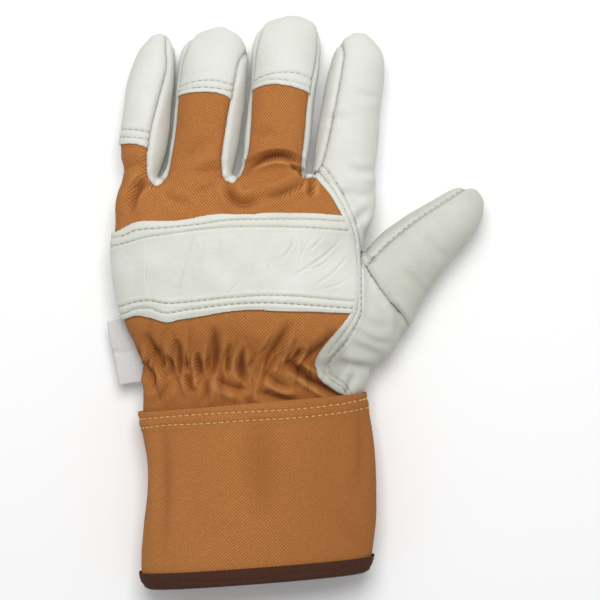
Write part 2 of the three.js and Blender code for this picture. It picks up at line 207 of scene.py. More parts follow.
def finish_mesh(bm, name):
    """Turns a bmesh into a smooth object at the origin."""
    mesh = bpy.data.meshes.new(name)
    bm.to_mesh(mesh)
    bm.free()
    piece = bpy.data.objects.new(name, mesh)
    bpy.context.scene.collection.objects.link(piece)
    mesh.shade_smooth()
    return piece


def reopen(piece):
    """The piece's mesh as a bmesh, to work on."""
    bm = bmesh.new()
    bm.from_mesh(piece.data)
    return bm


# %% [markdown]
# The hand, the fingers and the thumb run into each other as one padded skin. Six separate tubes would
# show hard creases where they cross, so they are melted together with a voxel remesh about as fine as
# the canvas weave, and then relaxed, which rounds the crotches between the fingers as sewing does.

# %% One skin from six limbs
bm = bmesh.new()
limb(bm, HAND, around=128)
for name, rows in {"little": LITTLE, "ring": RING, "middle": MIDDLE, "index": INDEX}.items():
    limb(bm, rows, TIPS[name])
limb(bm, THUMB, THUMB_TIP)
bmesh.ops.recalc_face_normals(bm, faces=bm.faces)
skin = finish_mesh(bm, "skin")


def apply_modifiers(piece):
    """Makes what the modifiers show the piece's own mesh."""
    depsgraph = bpy.context.evaluated_depsgraph_get()
    shown = bpy.data.meshes.new_from_object(piece.evaluated_get(depsgraph))
    piece.modifiers.clear()
    old = piece.data
    piece.data = shown
    bpy.data.meshes.remove(old)


VOXEL = 1.0  # mm
RELAXING = 8
remesh = skin.modifiers.new("melt", "REMESH")
remesh.mode = "VOXEL"
remesh.voxel_size = VOXEL * MM
relax = skin.modifiers.new("relax", "SMOOTH")
relax.factor = 0.5
relax.iterations = RELAXING
apply_modifiers(skin)
print("skin vertices:", len(skin.data.vertices))


# %% [markdown]
# Folds are pressed into the skin by number. Each fold is a row: where it starts, bends and ends on the
# plan, how wide and how deep. A point moves along its normal by how near it is to the fold, down in the
# valley and a little up on each bank, because padding that is pushed down has to go somewhere.

# %% Press folds into a skin
def polyline_distance(points, line):
    """Distance of each plan point to a line, its signed side, and its share along the line."""
    line = np.array(line, float)[:, :2]
    best = np.full(len(points), np.inf)
    side = np.zeros(len(points))
    share = np.zeros(len(points))
    lengths = np.linalg.norm(np.diff(line, axis=0), axis=1)
    total = lengths.sum()
    start = 0.0
    last = len(lengths) - 1
    for i, length in enumerate(lengths):
        along = (line[i + 1] - line[i]) / length
        offset = points - line[i]
        t = offset @ along
        low = -np.inf if i == 0 else 0.0
        high = np.inf if i == last else length
        near = offset - np.clip(t, 0, length)[:, None] * along
        distance = np.hypot(near[:, 0], near[:, 1])
        better = distance < best
        best[better] = distance[better]
        cross = along[0] * offset[:, 1] - along[1] * offset[:, 0]
        side[better] = np.sign(cross[better])
        share[better] = ((start + np.clip(t, low, high)) / total)[better]
        start += length
    return best, side, share


def positions(piece):
    """The place of every point of the piece, in millimetres."""
    values = np.empty(len(piece.data.vertices) * 3)
    piece.data.vertices.foreach_get("co", values)
    return values.reshape(-1, 3) / MM


def normals(piece):
    """The way that the surface faces at every point."""
    values = np.empty(len(piece.data.vertices) * 3)
    piece.data.vertex_normals.foreach_get("vector", values)
    return values.reshape(-1, 3)


def place(piece, points):
    """Moves the points of the piece, none of them below the floor."""
    points[:, 2] = np.maximum(points[:, 2], 0)
    piece.data.vertices.foreach_set("co", (points * MM).ravel())
    piece.data.update()


def bell(distance, width):
    """1 on a line, and falling away to both sides of it."""
    return np.exp(-((distance / width) ** 2))


def ramp(distance, width):
    """0 as far as a line, rising to 1 over the width past it."""
    return np.clip(distance / width, 0, 1)


def add_painted_shade(piece, amount):
    """Notes on the mesh itself how much painted shade each point takes, as millimetres of fold depth, for the
    materials to paint darker.
    """
    known = piece.data.attributes.get("fold") or piece.data.attributes.new("fold", "FLOAT", "POINT")
    depth = np.empty(len(piece.data.vertices), np.float32)
    known.data.foreach_get("value", depth)
    known.data.foreach_set("value", (depth + np.clip(amount, 0, None)).astype(np.float32))


def hollows(piece, passes):
    """How far each point lies below the mean of its surroundings, in millimetres."""
    ends = np.empty(len(piece.data.edges) * 2, np.int32)
    piece.data.edges.foreach_get("vertices", ends)
    one, other = ends.reshape(-1, 2).T
    points = positions(piece)
    neighbours = np.bincount(ends, minlength=len(points))
    mean = points.copy()
    for _ in range(passes):
        total = [
            np.bincount(one, axis[other], len(points)) + np.bincount(other, axis[one], len(points))
            for axis in mean.T
        ]
        mean = np.array(total).T / neighbours[:, None]
    return ((mean - points) * normals(piece)).sum(axis=1)


def facing_up(points, directions):
    """1 on the back of the glove, 0 on its palm side."""
    return ramp(points[:, 2] - 7, 6) * np.clip(directions[:, 2] * 3 + 0.9, 0, 1)


BANK = 2.1  # half widths from a valley to the top of its bank
BANK_RISE = 0.4  # as a share of the valley's depth
FOLD_REACH = 60  # mm from its middle, further than any fold reaches


def fold_heights(points, folds, crest=2.0):
    """How far the folds move each point, in millimetres. A lower crest makes a narrower valley."""
    height = np.zeros(len(points))
    for x0, y0, x1, y1, x2, y2, width, depth in folds:
        t = np.linspace(0, 1, 13)[:, None]
        bend = 2 * np.array([x1, y1]) - (np.array([x0, y0]) + np.array([x2, y2])) / 2
        line = (1 - t) ** 2 * np.array([x0, y0]) + 2 * t * (1 - t) * bend + t**2 * np.array([x2, y2])
        near = np.abs(points[:, 0] - x1) + np.abs(points[:, 1] - y1) < FOLD_REACH
        distance, side, share = polyline_distance(points[near, :2], line)
        taper = np.clip(np.sin(np.pi * np.clip(share, 0, 1)), 0, 1) ** 0.8
        valley = np.exp(-((distance / width) ** crest))
        banks = bell(distance - BANK * width, width)
        height[near] -= depth * taper * (valley - BANK_RISE * banks)
    return height


# Each row: start, middle and end on the plan, half width, depth.
CANVAS_FOLDS = [
    (-24.5, 62, -8.5, 68.6, 3.5, 63.6, 1.6, 3.4),
    (-3, 64.2, 1, 62.2, 4, 59.8, 1.1, 1.9),
    (-32, 57, -26, 46.5, -15, 50.2, 2.1, 2.6),
    (-17, 49.5, -6, 51.5, 6, 59.5, 2.0, 1.8),
    (-69, 58, -75, 51, -78, 41, 2.0, 2.6),
    (-62, 52, -54, 47, -46, 45, 2.4, 1.1),
    (-48, 50, -42, 54.5, -36, 57, 2.2, 1.0),
    (-56, 66, -47, 71, -38, 76, 3.0, 0.9),
    (8, 59, 7.5, 54, 7, 48, 1.4, 1.5),
    (-20, 76, -14, 78, -8, 77, 2.4, 0.7),
    (-84, 60, -76, 64.5, -69, 63, 2.4, 0.9),
    (-46, 59, -39, 62, -33, 61, 2.4, 0.8),
]
WRIST_FOLDS = [
    (-70.5, -14, -66, -23, -61, -31, 2.2, 3.4),
    (-75, -20, -72.5, -26, -69, -33, 1.8, 2.4),
    (-55.5, -17, -53.6, -26, -54.2, -34, 1.9, 3.6),
    (-60, -24, -58, -29, -58.5, -34, 1.2, 1.8),
    (-50, -22, -50.5, -28, -49.5, -33, 1.2, 1.8),
    (-38, -11, -37.2, -24, -39, -34, 2.3, 3.8),
    (-45.5, -23, -45, -28, -44.5, -34, 1.3, 2.2),
    (-30, -19, -31.5, -26, -31, -33, 1.4, 2.0),
    (-23, -20, -25, -30, -22.5, -38, 1.5, 3.2),
    (-36.5, -34.5, -30.5, -39, -20, -40.6, 2.0, 3.0),
    (-17.5, -41, -9, -44.8, 3, -46.5, 1.8, 3.2),
    (-1.5, -9, -8.5, -20, -15, -30, 2.2, 3.8),
    (4.5, -21, 0, -26, -3, -30, 1.5, 2.6),
    (-4, -27.5, 7, -35.5, 21.5, -44.5, 1.7, 5.0),
    (19.5, -12, 13, -20.5, 4, -27, 2.2, 2.6),
    (-69, -31, -66.6, -36, -68, -43, 1.8, 2.6),
    (-57, -36, -62, -42, -67, -49, 2.2, 1.8),
    (-50.5, -33, -49.5, -38, -48, -43, 1.4, 2.2),
    (-42, -36, -41, -41, -44, -48, 1.6, 1.4),
    (-14, -32, -9, -36.5, -1, -41, 1.7, 2.2),
    (-27, -42, -22, -46, -18, -51, 1.8, 1.2),
]
WRIST_CREST = 1.35  # folds of drawn-in cloth have narrow valleys between round ridges
CANVAS_CREST = 1.45
CANVAS_DEPTH = 1.5  # times the depths in the table of the canvas
LEATHER_FOLDS = [
    (31.8, 20.5, 34.5, 19.8, 38, 19, 1.0, 1.2),
    (32, 6, 37, 1, 43, 0, 2.2, 0.7),
    (31, -5, 37, -11, 48, -11, 2.2, 0.9),
    (25, -19, 32, -22, 43, -27, 2.0, 0.9),
    (20, -27, 27, -30, 37, -31, 1.8, 1.5),
    (30, -33, 27, -36, 24, -43, 1.8, 1.4),
    (27, -10, 34, -17, 46, -20, 1.5, 0.6),
    (33, 48, 28, 50, 22, 53, 2.2, 0.9),
    (38, 62, 31, 61, 24, 64, 1.8, 1.2),
    (37, 44, 31, 40, 28, 35, 2.0, 1.2),
    (12, 84, 18, 86, 26, 85, 2.0, 0.6),
    (40, 98, 34, 96, 27, 99, 2.0, 0.6),
    (60, 3, 56, 10, 50, 14, 2.2, 0.8),
    (72, 20, 66, 24, 60, 32, 2.2, 0.8),
    (47, -18, 49, -8, 44, -2, 2.0, 1.2),
    (64, 8, 60, 14, 58, 20, 1.6, 0.8),
]
SIDE_SEAM = 10.5  # height of the seam between the back and the palm side
# The middle of the gap between two fingers, from the crotch to the tips.
GAPS = {
    "little_ring": [(-63.4, 59), (-61.5, 65), (-58.8, 78), (-57.3, 93), (-56, 108), (-55.2, 119)],
    "ring_middle": [(-28.2, 60), (-27, 66), (-24.7, 79), (-22.7, 93), (-21.1, 108), (-21, 118)],
    "middle_index": [(6.6, 61.5), (7.2, 66), (9, 79), (11, 93), (13.4, 108)],
}
# How far the side walls swell back into a gap, in millimetres.
CLOSING = {"little_ring": 1.0, "ring_middle": 0.65, "middle_index": 0.35}
# Where the valleys between the gathers cross the elastic, and how far each leans sideways per millimetre up.
GATHERS = [
    (-80, 0.2), (-73, 0.16), (-69.5, 0.05), (-66, -0.1), (-61, -0.1), (-57.5, -0.05), (-54, -0.05),
    (-50.5, 0), (-47.5, 0), (-44, 0), (-41, 0.02), (-37, 0.05), (-34, 0.06), (-31, 0.02), (-28, 0.1),
    (-25.5, 0.06), (-21, 0.1), (-17.5, 0.3), (-14, 0.45), (-9, 0.4), (-5, 0.3), (0, 0.25), (5, 0.2),
    (10, 0.3), (15, 0.4), (22, 0.4),
]
PLEAT = 0.7  # mm that a gather of the usual width stands up
PLEAT_WIDTH = 4.2
SLACK = 0.7  # mm that loose cloth wanders in and out
SLACK_SIZE = 11  # mm across such a swell
GATHER_REACH = 7  # mm above and below the elastic that the small gathers reach
ELASTIC_SHADE = 1.5  # mm of fold of painted shade on the cloth about the elastic
HOLLOW_SHADE = 2.8  # painted shade: mm of fold for each millimetre of hollow
# Loose gathers as billows: how far apart, how long, how deep, and how far from the elastic, in mm.
BILLOWS = [(7.5, 17, 1.6, 16), (3.8, 9, 0.9, 8)]
PINCH = 0.8  # mm that the elastic draws the cloth in
PINCH_REACH = 4.5  # mm to each side of it
ELASTIC = [(-74, -30.5), (-50, -30), (-20, -30), (0, -29), (14, -28)]
ELASTIC_Y = -30
# Where the canvas, its gathers, the pinch and the billows end on the thumb's side.
CANVAS_END, GATHERS_END, PINCH_END, BILLOWS_END = 26, 18, 16, 14
HOLLOW_PASSES = 14  # times that the surroundings of a point are averaged
SEAM_STEP = 1.5  # mm between the points of a line on the plan

# Gathers are only a few millimetres wide, so the skin is made finer where they are.
# Each area: its lowest and its highest corner on the plan.
FINE_AREAS = [((-84, -54), (26, -10.5)), ((-86, 45), (8, 74))]
FINE_ABOVE = 15


def in_fine_area(vert):
    """Whether the point lies in one of the fine areas, on the back of the glove."""
    x, y, z = vert.co / MM
    return z > FINE_ABOVE and any(x0 < x < x1 and y0 < y < y1 for (x0, y0), (x1, y1) in FINE_AREAS)


bm = reopen(skin)
fine = {vert for vert in bm.verts if in_fine_area(vert)}
fine_edges = [edge for edge in bm.edges if edge.verts[0] in fine and edge.verts[1] in fine]
bmesh.ops.subdivide_edges(bm, edges=fine_edges, cuts=1, use_grid_fill=True)
fine = [vert for vert in bm.verts if in_fine_area(vert)]
bmesh.ops.smooth_vert(bm, verts=fine, factor=0.5, use_axis_x=True, use_axis_y=True, use_axis_z=True)
bm.to_mesh(skin.data)
bm.free()
skin.data.shade_smooth()
print("skin vertices with the fine areas:", len(skin.data.vertices))

# %% [markdown]
# First the side walls swell back into the gaps, because padded fingers press together. Then the folds of
# the leather and of the canvas are added up, and they are kept to the back of the glove.

# %% Press the folds
points = positions(skin)
directions = normals(skin)
steep = 1 - np.abs(directions[:, 2])
for name, line in GAPS.items():
    distance, side, share = polyline_distance(points[:, :2], through(line, SEAM_STEP))
    ends = ramp(share - 0.08, 0.15) * ramp(1.1 - share, 0.1)
    points += directions * (CLOSING[name] * ends * steep * bell(distance, 3.5))[:, None]
place(skin, points)
directions = normals(skin)
x, y = points[:, 0], points[:, 1]
up = facing_up(points, directions)
canvas_side = ramp(CANVAS_END - x, 5)
height = fold_heights(points, LEATHER_FOLDS)
height += CANVAS_DEPTH * fold_heights(points, CANVAS_FOLDS, CANVAS_CREST)
drawn_in = 0.7 + 0.4 * bell(y + 31, 12)
height += fold_heights(points, WRIST_FOLDS, WRIST_CREST) * canvas_side * drawn_in

# %% [markdown]
# Elastic is sewn in stretched, so the cloth over it is too long and stands up in gathers. Their valleys
# are a table, because no two are alike, and noise that leans the same way adds loose billows between.

# %% Gather the cloth along the elastic
valleys = np.array(GATHERS)
above = y - ELASTIC_Y
leaning = x - above * np.interp(x, valleys[:, 0], valleys[:, 1])
count = np.interp(leaning, valleys[:, 0], np.arange(len(valleys)))
ridge = np.sin(np.pi * (count % 1)) ** 0.7 - 0.6
widths = np.diff(valleys[:, 0])[np.clip(count.astype(int), 0, len(valleys) - 2)]
reach = np.where(above > 0, GATHER_REACH, 0.7 * GATHER_REACH) * np.clip(widths / PLEAT_WIDTH, 0.6, 1.6)
pleats = PLEAT * np.clip(widths / PLEAT_WIDTH, 0.6, 1.5) * ridge * bell(above, reach)
height += pleats * ramp(GATHERS_END - x, 6)
distance = polyline_distance(points[:, :2], ELASTIC)[0]
height -= PINCH * (bell(distance, PINCH_REACH) * ramp(PINCH_END - x, 6))
shade = ELASTIC_SHADE * bell(y + 25, 13) * canvas_side
# The valleys, and the band about the elastic, get painted shade.
add_painted_shade(skin, (0.4 * np.clip(-height, 0, None) + shade) * up)
billow = np.zeros(len(points))
for size, length, depth, spread in BILLOWS:
    amount = depth * bell(above, spread) * ramp(BILLOWS_END - x, 8) * up
    for index in np.flatnonzero(amount > 0.02):
        spot = Vector((leaning[index] / size, y[index] / length, size))
        billow[index] += amount[index] * (2.4 * abs(noise.noise(spot)) ** 0.8 - 0.55)
height += billow
slack = SLACK * (0.4 + 0.6 * canvas_side * (y < 62))
height += slack * np.array([noise.noise(Vector(point) / SLACK_SIZE) for point in points])
place(skin, points + directions * (height * up)[:, None])
print("deepest fold in mm:", round(float(-(height * up).min()), 2))

# %% [markdown]
# A hollow gets painted shade, and a crest gets a painted highlight. How far a point lies below the mean of
# its surroundings tells the two apart, and it is kept on the mesh for the canvas to read.

# %% Note the hollows and the crests for the painted shade and highlight
knuckles = ramp(y - 46, 5) * ramp(74 - y, 8)
drawn = canvas_side * up * np.maximum(ramp(-9 - y, 5), knuckles)
hollow = hollows(skin, HOLLOW_PASSES) * drawn
add_painted_shade(skin, HOLLOW_SHADE * hollow)
crest = skin.data.attributes.new("crest", "FLOAT", "POINT")
crest.data.foreach_set("value", np.clip(-hollow, 0, None).astype(np.float32))
print("hollows in mm:", round(float(hollow.min()), 2), "to", round(float(hollow.max()), 2))

# %% [markdown]
# The skin is cut into its sewn pieces along lines on the plan. A planar cut can't follow a curved seam,
# so each seam is a distance field: an edge whose ends lie on different sides is split where the distance
# is nought, and the new points are joined across their faces. Then the faces come apart along the line.


# %% Cut a seam
ON_LINE = 0.02  # a point with less than this, in millimetres, is on the line already
SPLIT = (0.08, 0.92)  # an edge is never split nearer to its ends than this share
CUT_REACH = 4  # mm from the line


def region(bm, seed):
    """The faces that can be reached from the one nearest the seed without crossing a seam."""
    target = Vector(seed) * MM
    start = min(bm.faces, key=lambda face: (face.calc_center_median() - target).length_squared)
    found = {start}
    front = [start]
    while front:
        face = front.pop()
        for edge in face.edges:
            if edge.seam:
                continue
            for other in edge.link_faces:
                if other not in found:
                    found.add(other)
                    front.append(other)
    return found


def cut(bm, faces, value, usable):
    """Cuts the faces where the value of their corners passes through nought.

    It works in the mesh's own order, because the order of a set changes from run to run.
    """
    corners = {vert for face in faces for vert in face.verts}
    sides = {edge for face in faces for edge in face.edges}
    order = [vert for vert in bm.verts if vert in corners]
    plan = np.array([vert.co[:] for vert in order]) / MM
    numbers = dict(zip(order, zip(value(plan), usable(plan))))
    on_line = [vert for vert in order if numbers[vert][1] and abs(numbers[vert][0]) < ON_LINE]
    for edge in [edge for edge in bm.edges if edge in sides]:
        one, other = edge.verts
        (a, ok_a), (b, ok_b) = numbers[one], numbers[other]
        if ok_a and ok_b and a * b < 0 and abs(a) >= ON_LINE and abs(b) >= ON_LINE:
            share = min(max(a / (a - b), SPLIT[0]), SPLIT[1])
            on_line.append(bmesh.utils.edge_split(edge, one, share)[1])
    bmesh.ops.connect_verts(bm, verts=on_line)
    found = set(on_line)
    for vert in on_line:
        for edge in vert.link_edges:
            if edge.other_vert(vert) in found:
                edge.seam = True


def cut_line(bm, seed, line, low=None):
    """Cuts the region of the seed along a line on the plan, only above the height low."""
    curve = through(line, SEAM_STEP)

    def value(plan):
        distance, side, share = polyline_distance(plan[:, :2], curve)
        return distance * side

    def usable(plan):
        distance, side, share = polyline_distance(plan[:, :2], curve)
        ok = (distance < CUT_REACH) & (share >= 0) & (share <= 1)
        return ok if low is None else ok & (plan[:, 2] > low)

    cut(bm, region(bm, seed), value, usable)


def cut_level(bm, seed, outline):
    """Cuts the region of the seed at the height of the side seam, inside an outline on the plan."""
    outline = np.array(outline, float)

    def inside(plan):
        found = np.zeros(len(plan), bool)
        x, y = plan[:, 0], plan[:, 1]
        for (x0, y0), (x1, y1) in zip(outline, np.roll(outline, -1, axis=0)):
            crosses = (y0 > y) != (y1 > y)
            with np.errstate(divide="ignore", invalid="ignore"):
                at = x0 + (y - y0) * (x1 - x0) / (y1 - y0)
            found ^= crosses & (x < at)
        return found

    cut(bm, region(bm, seed), lambda plan: plan[:, 2] - SIDE_SEAM, inside)


# %% Seam lines on the plan, in millimetres
THUMB_BASE = [(34.8, 32), (33.4, 27.4), (32.2, 23), (32.8, 17.6), (42, 3), (51, -8), (60, -20)]
THUMB_SEAM = [
    (31.2, 15.4), (36.4, 20.6), (42, 26.4), (48.4, 32), (56, 38), (65, 44.2), (75.6, 51), (81, 54.6),
    (85, 59),
]
FORKS = {
    "fourchette_little_ring": [
        (-60.6, 131), (-60.2, 120), (-59.6, 110), (-63.4, 95), (-67.4, 80), (-69.4, 66), (-67.8, 57.4),
        (-65.2, 54.8), (-62.4, 56.2), (-60.6, 60), (-58.6, 70), (-57.1, 80), (-55.7, 94), (-53.9, 111),
        (-51.6, 118.6), (-49.4, 123.4), (-47.6, 127), (-47, 133),
    ],
    "fourchette_ring_middle": [
        (-17.5, 126), (-21.8, 118.6), (-25.4, 113), (-27.4, 104), (-29.8, 93), (-31.8, 82), (-33.8, 67),
        (-33.2, 58.6), (-29.8, 55.6), (-26.4, 59.6), (-22.8, 71), (-21.6, 84), (-21.2, 93), (-20, 106),
        (-18.9, 118), (-17, 126), (-15.6, 130), (-15.4, 136),
    ],
    "fourchette_middle_index": [
        (13.4, 136), (11.2, 128), (11.3, 120), (10.1, 110), (7.8, 100), (6.6, 92), (5.4, 78), (3.9, 65),
        (4, 60), (7.2, 58), (10.4, 61.4), (14.2, 72.5), (18.4, 92), (21.8, 110), (22.4, 117),
        (21, 122.4), (18, 129),
    ],
}
LAP_LINE = [
    (6, 57.9), (8.6, 59.6), (12, 56), (17.6, 49), (23.4, 38), (27.4, 26), (28.9, 14), (28.2, 0), (25.4, -6.8),
    (18, -16.5), (12.4, -24.4), (10.4, -30), (12.4, -35), (20.4, -41), (23.4, -45), (24.8, -64),
]
CAP_LINES = {
    "little_cap": [(-90, 74.6), (-80, 74.9), (-75, 74.6), (-64, 71.8)],
    "ring_cap": [(-62, 94.4), (-54, 97.6), (-45, 98.7), (-35, 97.9), (-22, 92.6)],
    "middle_cap": [(-26, 96.6), (-19.5, 100.3), (-12, 102.4), (-4, 101.8), (4, 99.7), (13, 95.6)],
}
FRONT_LINES = {
    "ring_front": [
        (-54, 132), *GAPS["little_ring"][:0:-1], (-63.4, 56), (-58, 51), (-48, 50), (-38, 50.5), (-31, 54.5),
        *GAPS["ring_middle"][1:], (-22, 132),
    ],
    "middle_front": [
        (-29, 62), (-26, 55.5), (-20, 51), (-12, 50), (-3, 51.5), (3.6, 56),
        *GAPS["middle_index"][1:], (15.2, 120), (17, 132),
    ],
}
SIDE_OUTLINE = [
    (-100, -70), (-100, 145), (31.4, 145), (31, 128), (29.6, 112), (26.6, 94), (24, 78), (21.6, 62), (18, 50),
    (2, 46), (-4, -70),
]
THUMB_OUTLINE = [
    (36, 2), (48, 10.5), (58, 20.4), (66, 31), (72, 42), (79, 60), (98, 62), (104, -10), (56, -18.5),
    (50, -9.5),
]

# %% Cut the skin
WRIST_CUT = (-20, -57, 0)  # on the end of the hand, inside the cuff
BACK = (-20, 20, 37)
FLOOR = (0, 0, 0)
THUMB_TOP = (62, 24, 27)
TOP_SIDE = SIDE_SEAM - 1  # a cut only above this height leaves the palm whole
bm = reopen(skin)
bmesh.ops.bisect_plane(
    bm, geom=bm.verts[:] + bm.edges[:] + bm.faces[:], plane_co=Vector(WRIST_CUT) * MM,
    plane_no=(0.069, -0.998, 0), clear_outer=True,
)
cut_line(bm, BACK, THUMB_BASE)
cut_level(bm, THUMB_TOP, THUMB_OUTLINE)
cut_line(bm, THUMB_TOP, THUMB_SEAM, low=TOP_SIDE)
cut_level(bm, BACK, SIDE_OUTLINE)
for line in FORKS.values():
    cut_line(bm, BACK, line, low=TOP_SIDE)
cut_line(bm, BACK, LAP_LINE, low=TOP_SIDE)
CAP_SEEDS = {"little_cap": (-71, 100, 24), "ring_cap": (-40, 112, 26), "middle_cap": (-3, 118, 26)}
for name, line in CAP_LINES.items():
    cut_line(bm, CAP_SEEDS[name], line, low=TOP_SIDE)
for line in FRONT_LINES.values():
    cut_line(bm, FLOOR, line)
bmesh.ops.split_edges(bm, edges=[edge for edge in bm.edges if edge.seam])
bm.faces.ensure_lookup_table()
bm.faces.index_update()
cut_skin = bm

# %% Take the pieces apart
# A point on each piece, which tells it from its neighbours.
SEEDS = {
    "back_canvas": BACK,
    **CAP_SEEDS,
    "fourchette_little_ring": (-65, 56.5, 22),
    "fourchette_ring_middle": (-30, 57, 22),
    "fourchette_middle_index": (12, 80, 24),
    "palm": FLOOR,
    "ring_front": (-42, 80, 0),
    "middle_front": (-8, 80, 0),
    "thumb_back": THUMB_TOP,
    "thumb_front": (62, 24, 0),
}
SLIVER = 0.3  # mm, the shortest edge that a cut may leave
DEGENERATE = 0.02  # mm, the least height of a face


def keep_only(bm, keep):
    """Deletes all other faces, and then the slivers that the cuts left."""
    bmesh.ops.delete(bm, geom=[face for face in bm.faces if face not in keep], context="FACES")
    bmesh.ops.remove_doubles(bm, verts=bm.verts, dist=SLIVER * MM)
    bmesh.ops.dissolve_degenerate(bm, dist=DEGENERATE * MM, edges=bm.edges)


def loose_piece(name):
    """The loose part of the cut skin nearest the seed, as an object of its own."""
    numbers = {face.index for face in region(cut_skin, SEEDS[name])}
    bm = cut_skin.copy()
    bm.faces.ensure_lookup_table()
    keep_only(bm, {face for face in bm.faces if face.index in numbers})
    return finish_mesh(bm, name + "_sewn")


pieces = {}
for name in SEEDS:
    pieces[name] = loose_piece(name)
    print(name, len(pieces[name].data.polygons))

# %% [markdown]
# Three things lie over the skin: the knuckle strap, the cuff and its binding. The strap is a copy of the
# canvas under it, cut to its own outline and pushed out by its thickness, so it follows every swell.


# %% Lay the strap on the canvas
STRAP_TOP = [
    (-96, 31), (-86, 31.8), (-80, 34), (-74, 36.8), (-67, 37.6), (-58, 37.4), (-50, 38.2), (-40, 40),
    (-30, 40.8), (-20, 41), (0, 41.2), (12, 40.9), (34, 39),
]
STRAP_FOOT = [
    (-96, -9), (-81, -8.3), (-74, -6.2), (-67, -7.2), (-59.5, -9.3), (-53, -8), (-44, -6.6), (-32, -4.6),
    (-20, -3.6), (-6, -4.2), (10, -4.6), (34, -5.8),
]
bm = reopen(pieces["back_canvas"])
for line in (STRAP_TOP, STRAP_FOOT):
    cut_line(bm, BACK, line)
keep_only(bm, region(bm, BACK))
bmesh.ops.subdivide_edges(bm, edges=bm.edges, cuts=1, use_grid_fill=True)
pieces["knuckle_strap"] = finish_mesh(bm, "knuckle_strap_sewn")
pieces["knuckle_strap"].data.attributes.remove(pieces["knuckle_strap"].data.attributes["fold"])
print("knuckle strap faces:", len(pieces["knuckle_strap"].data.polygons))


# %% The cuff and its binding
CUFF_AROUND = 230
CUFF_STEP = 1.2  # mm from ring to ring
CUFF_WALL = 1.6
BINDING_THICK = 1.0
BINDING_GAP = 0.3
HEM_TURN = 1.1  # mm that the tape's fold stands past the hem
HEM_DEPTH = 0.97  # the binding's upper edge, as a share of the way from the hem to the next row


def cuff_at(bm, sections, grows):
    """A tube through the rows, each grown by its own amount."""
    rings = [oval(bm, row, CUFF_AROUND, grow) for row, grow in zip(sections, grows)]
    for one, other in zip(rings, rings[1:]):
        bmesh.ops.bridge_loops(bm, edges=one + other)


bm = bmesh.new()
sections = through(CUFF, CUFF_STEP)
cuff_at(bm, sections, [0] * len(sections))
bmesh.ops.recalc_face_normals(bm, faces=bm.faces)
pieces["cuff"] = finish_mesh(bm, "cuff_sewn")

hem = through(CUFF[:3], CUFF_STEP)
hem = hem[: int(len(through(CUFF[:2], CUFF_STEP)) * HEM_DEPTH) + 1]
bm = bmesh.new()
outside = BINDING_GAP + BINDING_THICK
inside = -CUFF_WALL - BINDING_GAP - BINDING_THICK
turned = hem[0] - np.array([0, HEM_TURN, 0, HEM_TURN, 0, 0])
grows = [outside] * len(hem) + [(outside + inside) / 2] + [inside] * len(hem)
cuff_at(bm, [*hem[::-1], turned, *hem], grows)
bmesh.ops.recalc_face_normals(bm, faces=bm.faces)
pieces["cuff_binding"] = finish_mesh(bm, "cuff_binding_sewn")
print("cuff faces:", len(pieces["cuff"].data.polygons))

# %% [markdown]
# Every piece is finished the same way. Its edge is rolled into the seam valley, or raised where a turned
# edge laps over its neighbour, and then it gets the thickness of leather or cloth on the inside. The inner
# face shows only in the mouth of the cuff, and has the napped lining there.


# %% Roll the edges and give each piece its wall
def edge_points(piece):
    """The plan and height of every corner on the piece's open edge, in millimetres."""
    bm = reopen(piece)
    found = np.array([vert.co[:] for vert in bm.verts if vert.is_boundary]) / MM
    bm.free()
    return found


def nearest_distance(points, targets, reach):
    """How far each point is from the nearest target, counted no further than the reach."""
    tree = KDTree(len(targets))
    for index, target in enumerate(targets):
        tree.insert(target, index)
    tree.balance()
    result = np.full(len(points), reach)
    low, high = targets.min(0) - reach, targets.max(0) + reach
    for index in np.flatnonzero(((points > low) & (points < high)).all(axis=1)):
        result[index] = min(tree.find(points[index])[2], reach)
    return result


ROLL_DEPTH = 1.1
ROLL_WIDTH = 1.5
ROLL_REACH = 8.0
SEAM_SHADE = (1.1, 0.9)  # painted shade along a seam, in mm of fold, and how wide
# The line where a piece's own edge lies on top of its neighbour, and how far the edge stands up.
RAISED = {"palm": (LAP_LINE, 1.3), **{name: (line, 0.9) for name, line in CAP_LINES.items()}}
OVERLAP = 0.7  # mm that such an edge reaches past its line
FLUSH = {"back_canvas": [LAP_LINE, *CAP_LINES.values()]}
RAISE_REACH = 7.0
WRIST_END = -49  # the edge below this is inside the cuff and isn't rolled


def roll_edges(name, piece):
    """Rolls the open edge of a piece into its seam, and raises it where it laps over a neighbour."""
    points = positions(piece)
    directions = normals(piece)
    edge = edge_points(piece)
    edge = edge[edge[:, 1] > WRIST_END]
    lines = [RAISED[name][0]] if name in RAISED else FLUSH.get(name, [])
    high = edge[:, 2] > SIDE_SEAM - 0.5
    lapped = np.zeros(len(edge), bool)
    for line in lines:
        distance, side, share = polyline_distance(edge[:, :2], through(line, SEAM_STEP))
        lapped |= (distance < 0.6) & high & (share > 0) & (share < 1)
    rolled = edge[~lapped]
    height = np.zeros(len(points))
    if len(rolled):
        distance = nearest_distance(points, rolled, ROLL_REACH)
        height -= ROLL_DEPTH * bell(distance, ROLL_WIDTH)
        # The seam valley gets painted shade.
        add_painted_shade(piece, SEAM_SHADE[0] * bell(distance, SEAM_SHADE[1]))
    if name in RAISED and lapped.any():
        distance = nearest_distance(points, edge[lapped], RAISE_REACH)
        fall = (1 - (distance / RAISE_REACH) ** 2) ** 2
        height += RAISED[name][1] * fall
        line = through(RAISED[name][0], 0.5)
        middles = (line[1:] + line[:-1]) / 2
        steps = line[1:] - line[:-1]
        along = steps / np.linalg.norm(steps, axis=1)[:, None]
        for index in np.flatnonzero(fall > 0.01):
            near = np.argmin(np.hypot(*(middles - points[index, :2]).T))
            points[index, 0] += along[near, 1] * OVERLAP * fall[index] ** 3
            points[index, 1] -= along[near, 0] * OVERLAP * fall[index] ** 3
    place(piece, points + directions * height[:, None])


for name in SEEDS:
    roll_edges(name, pieces[name])

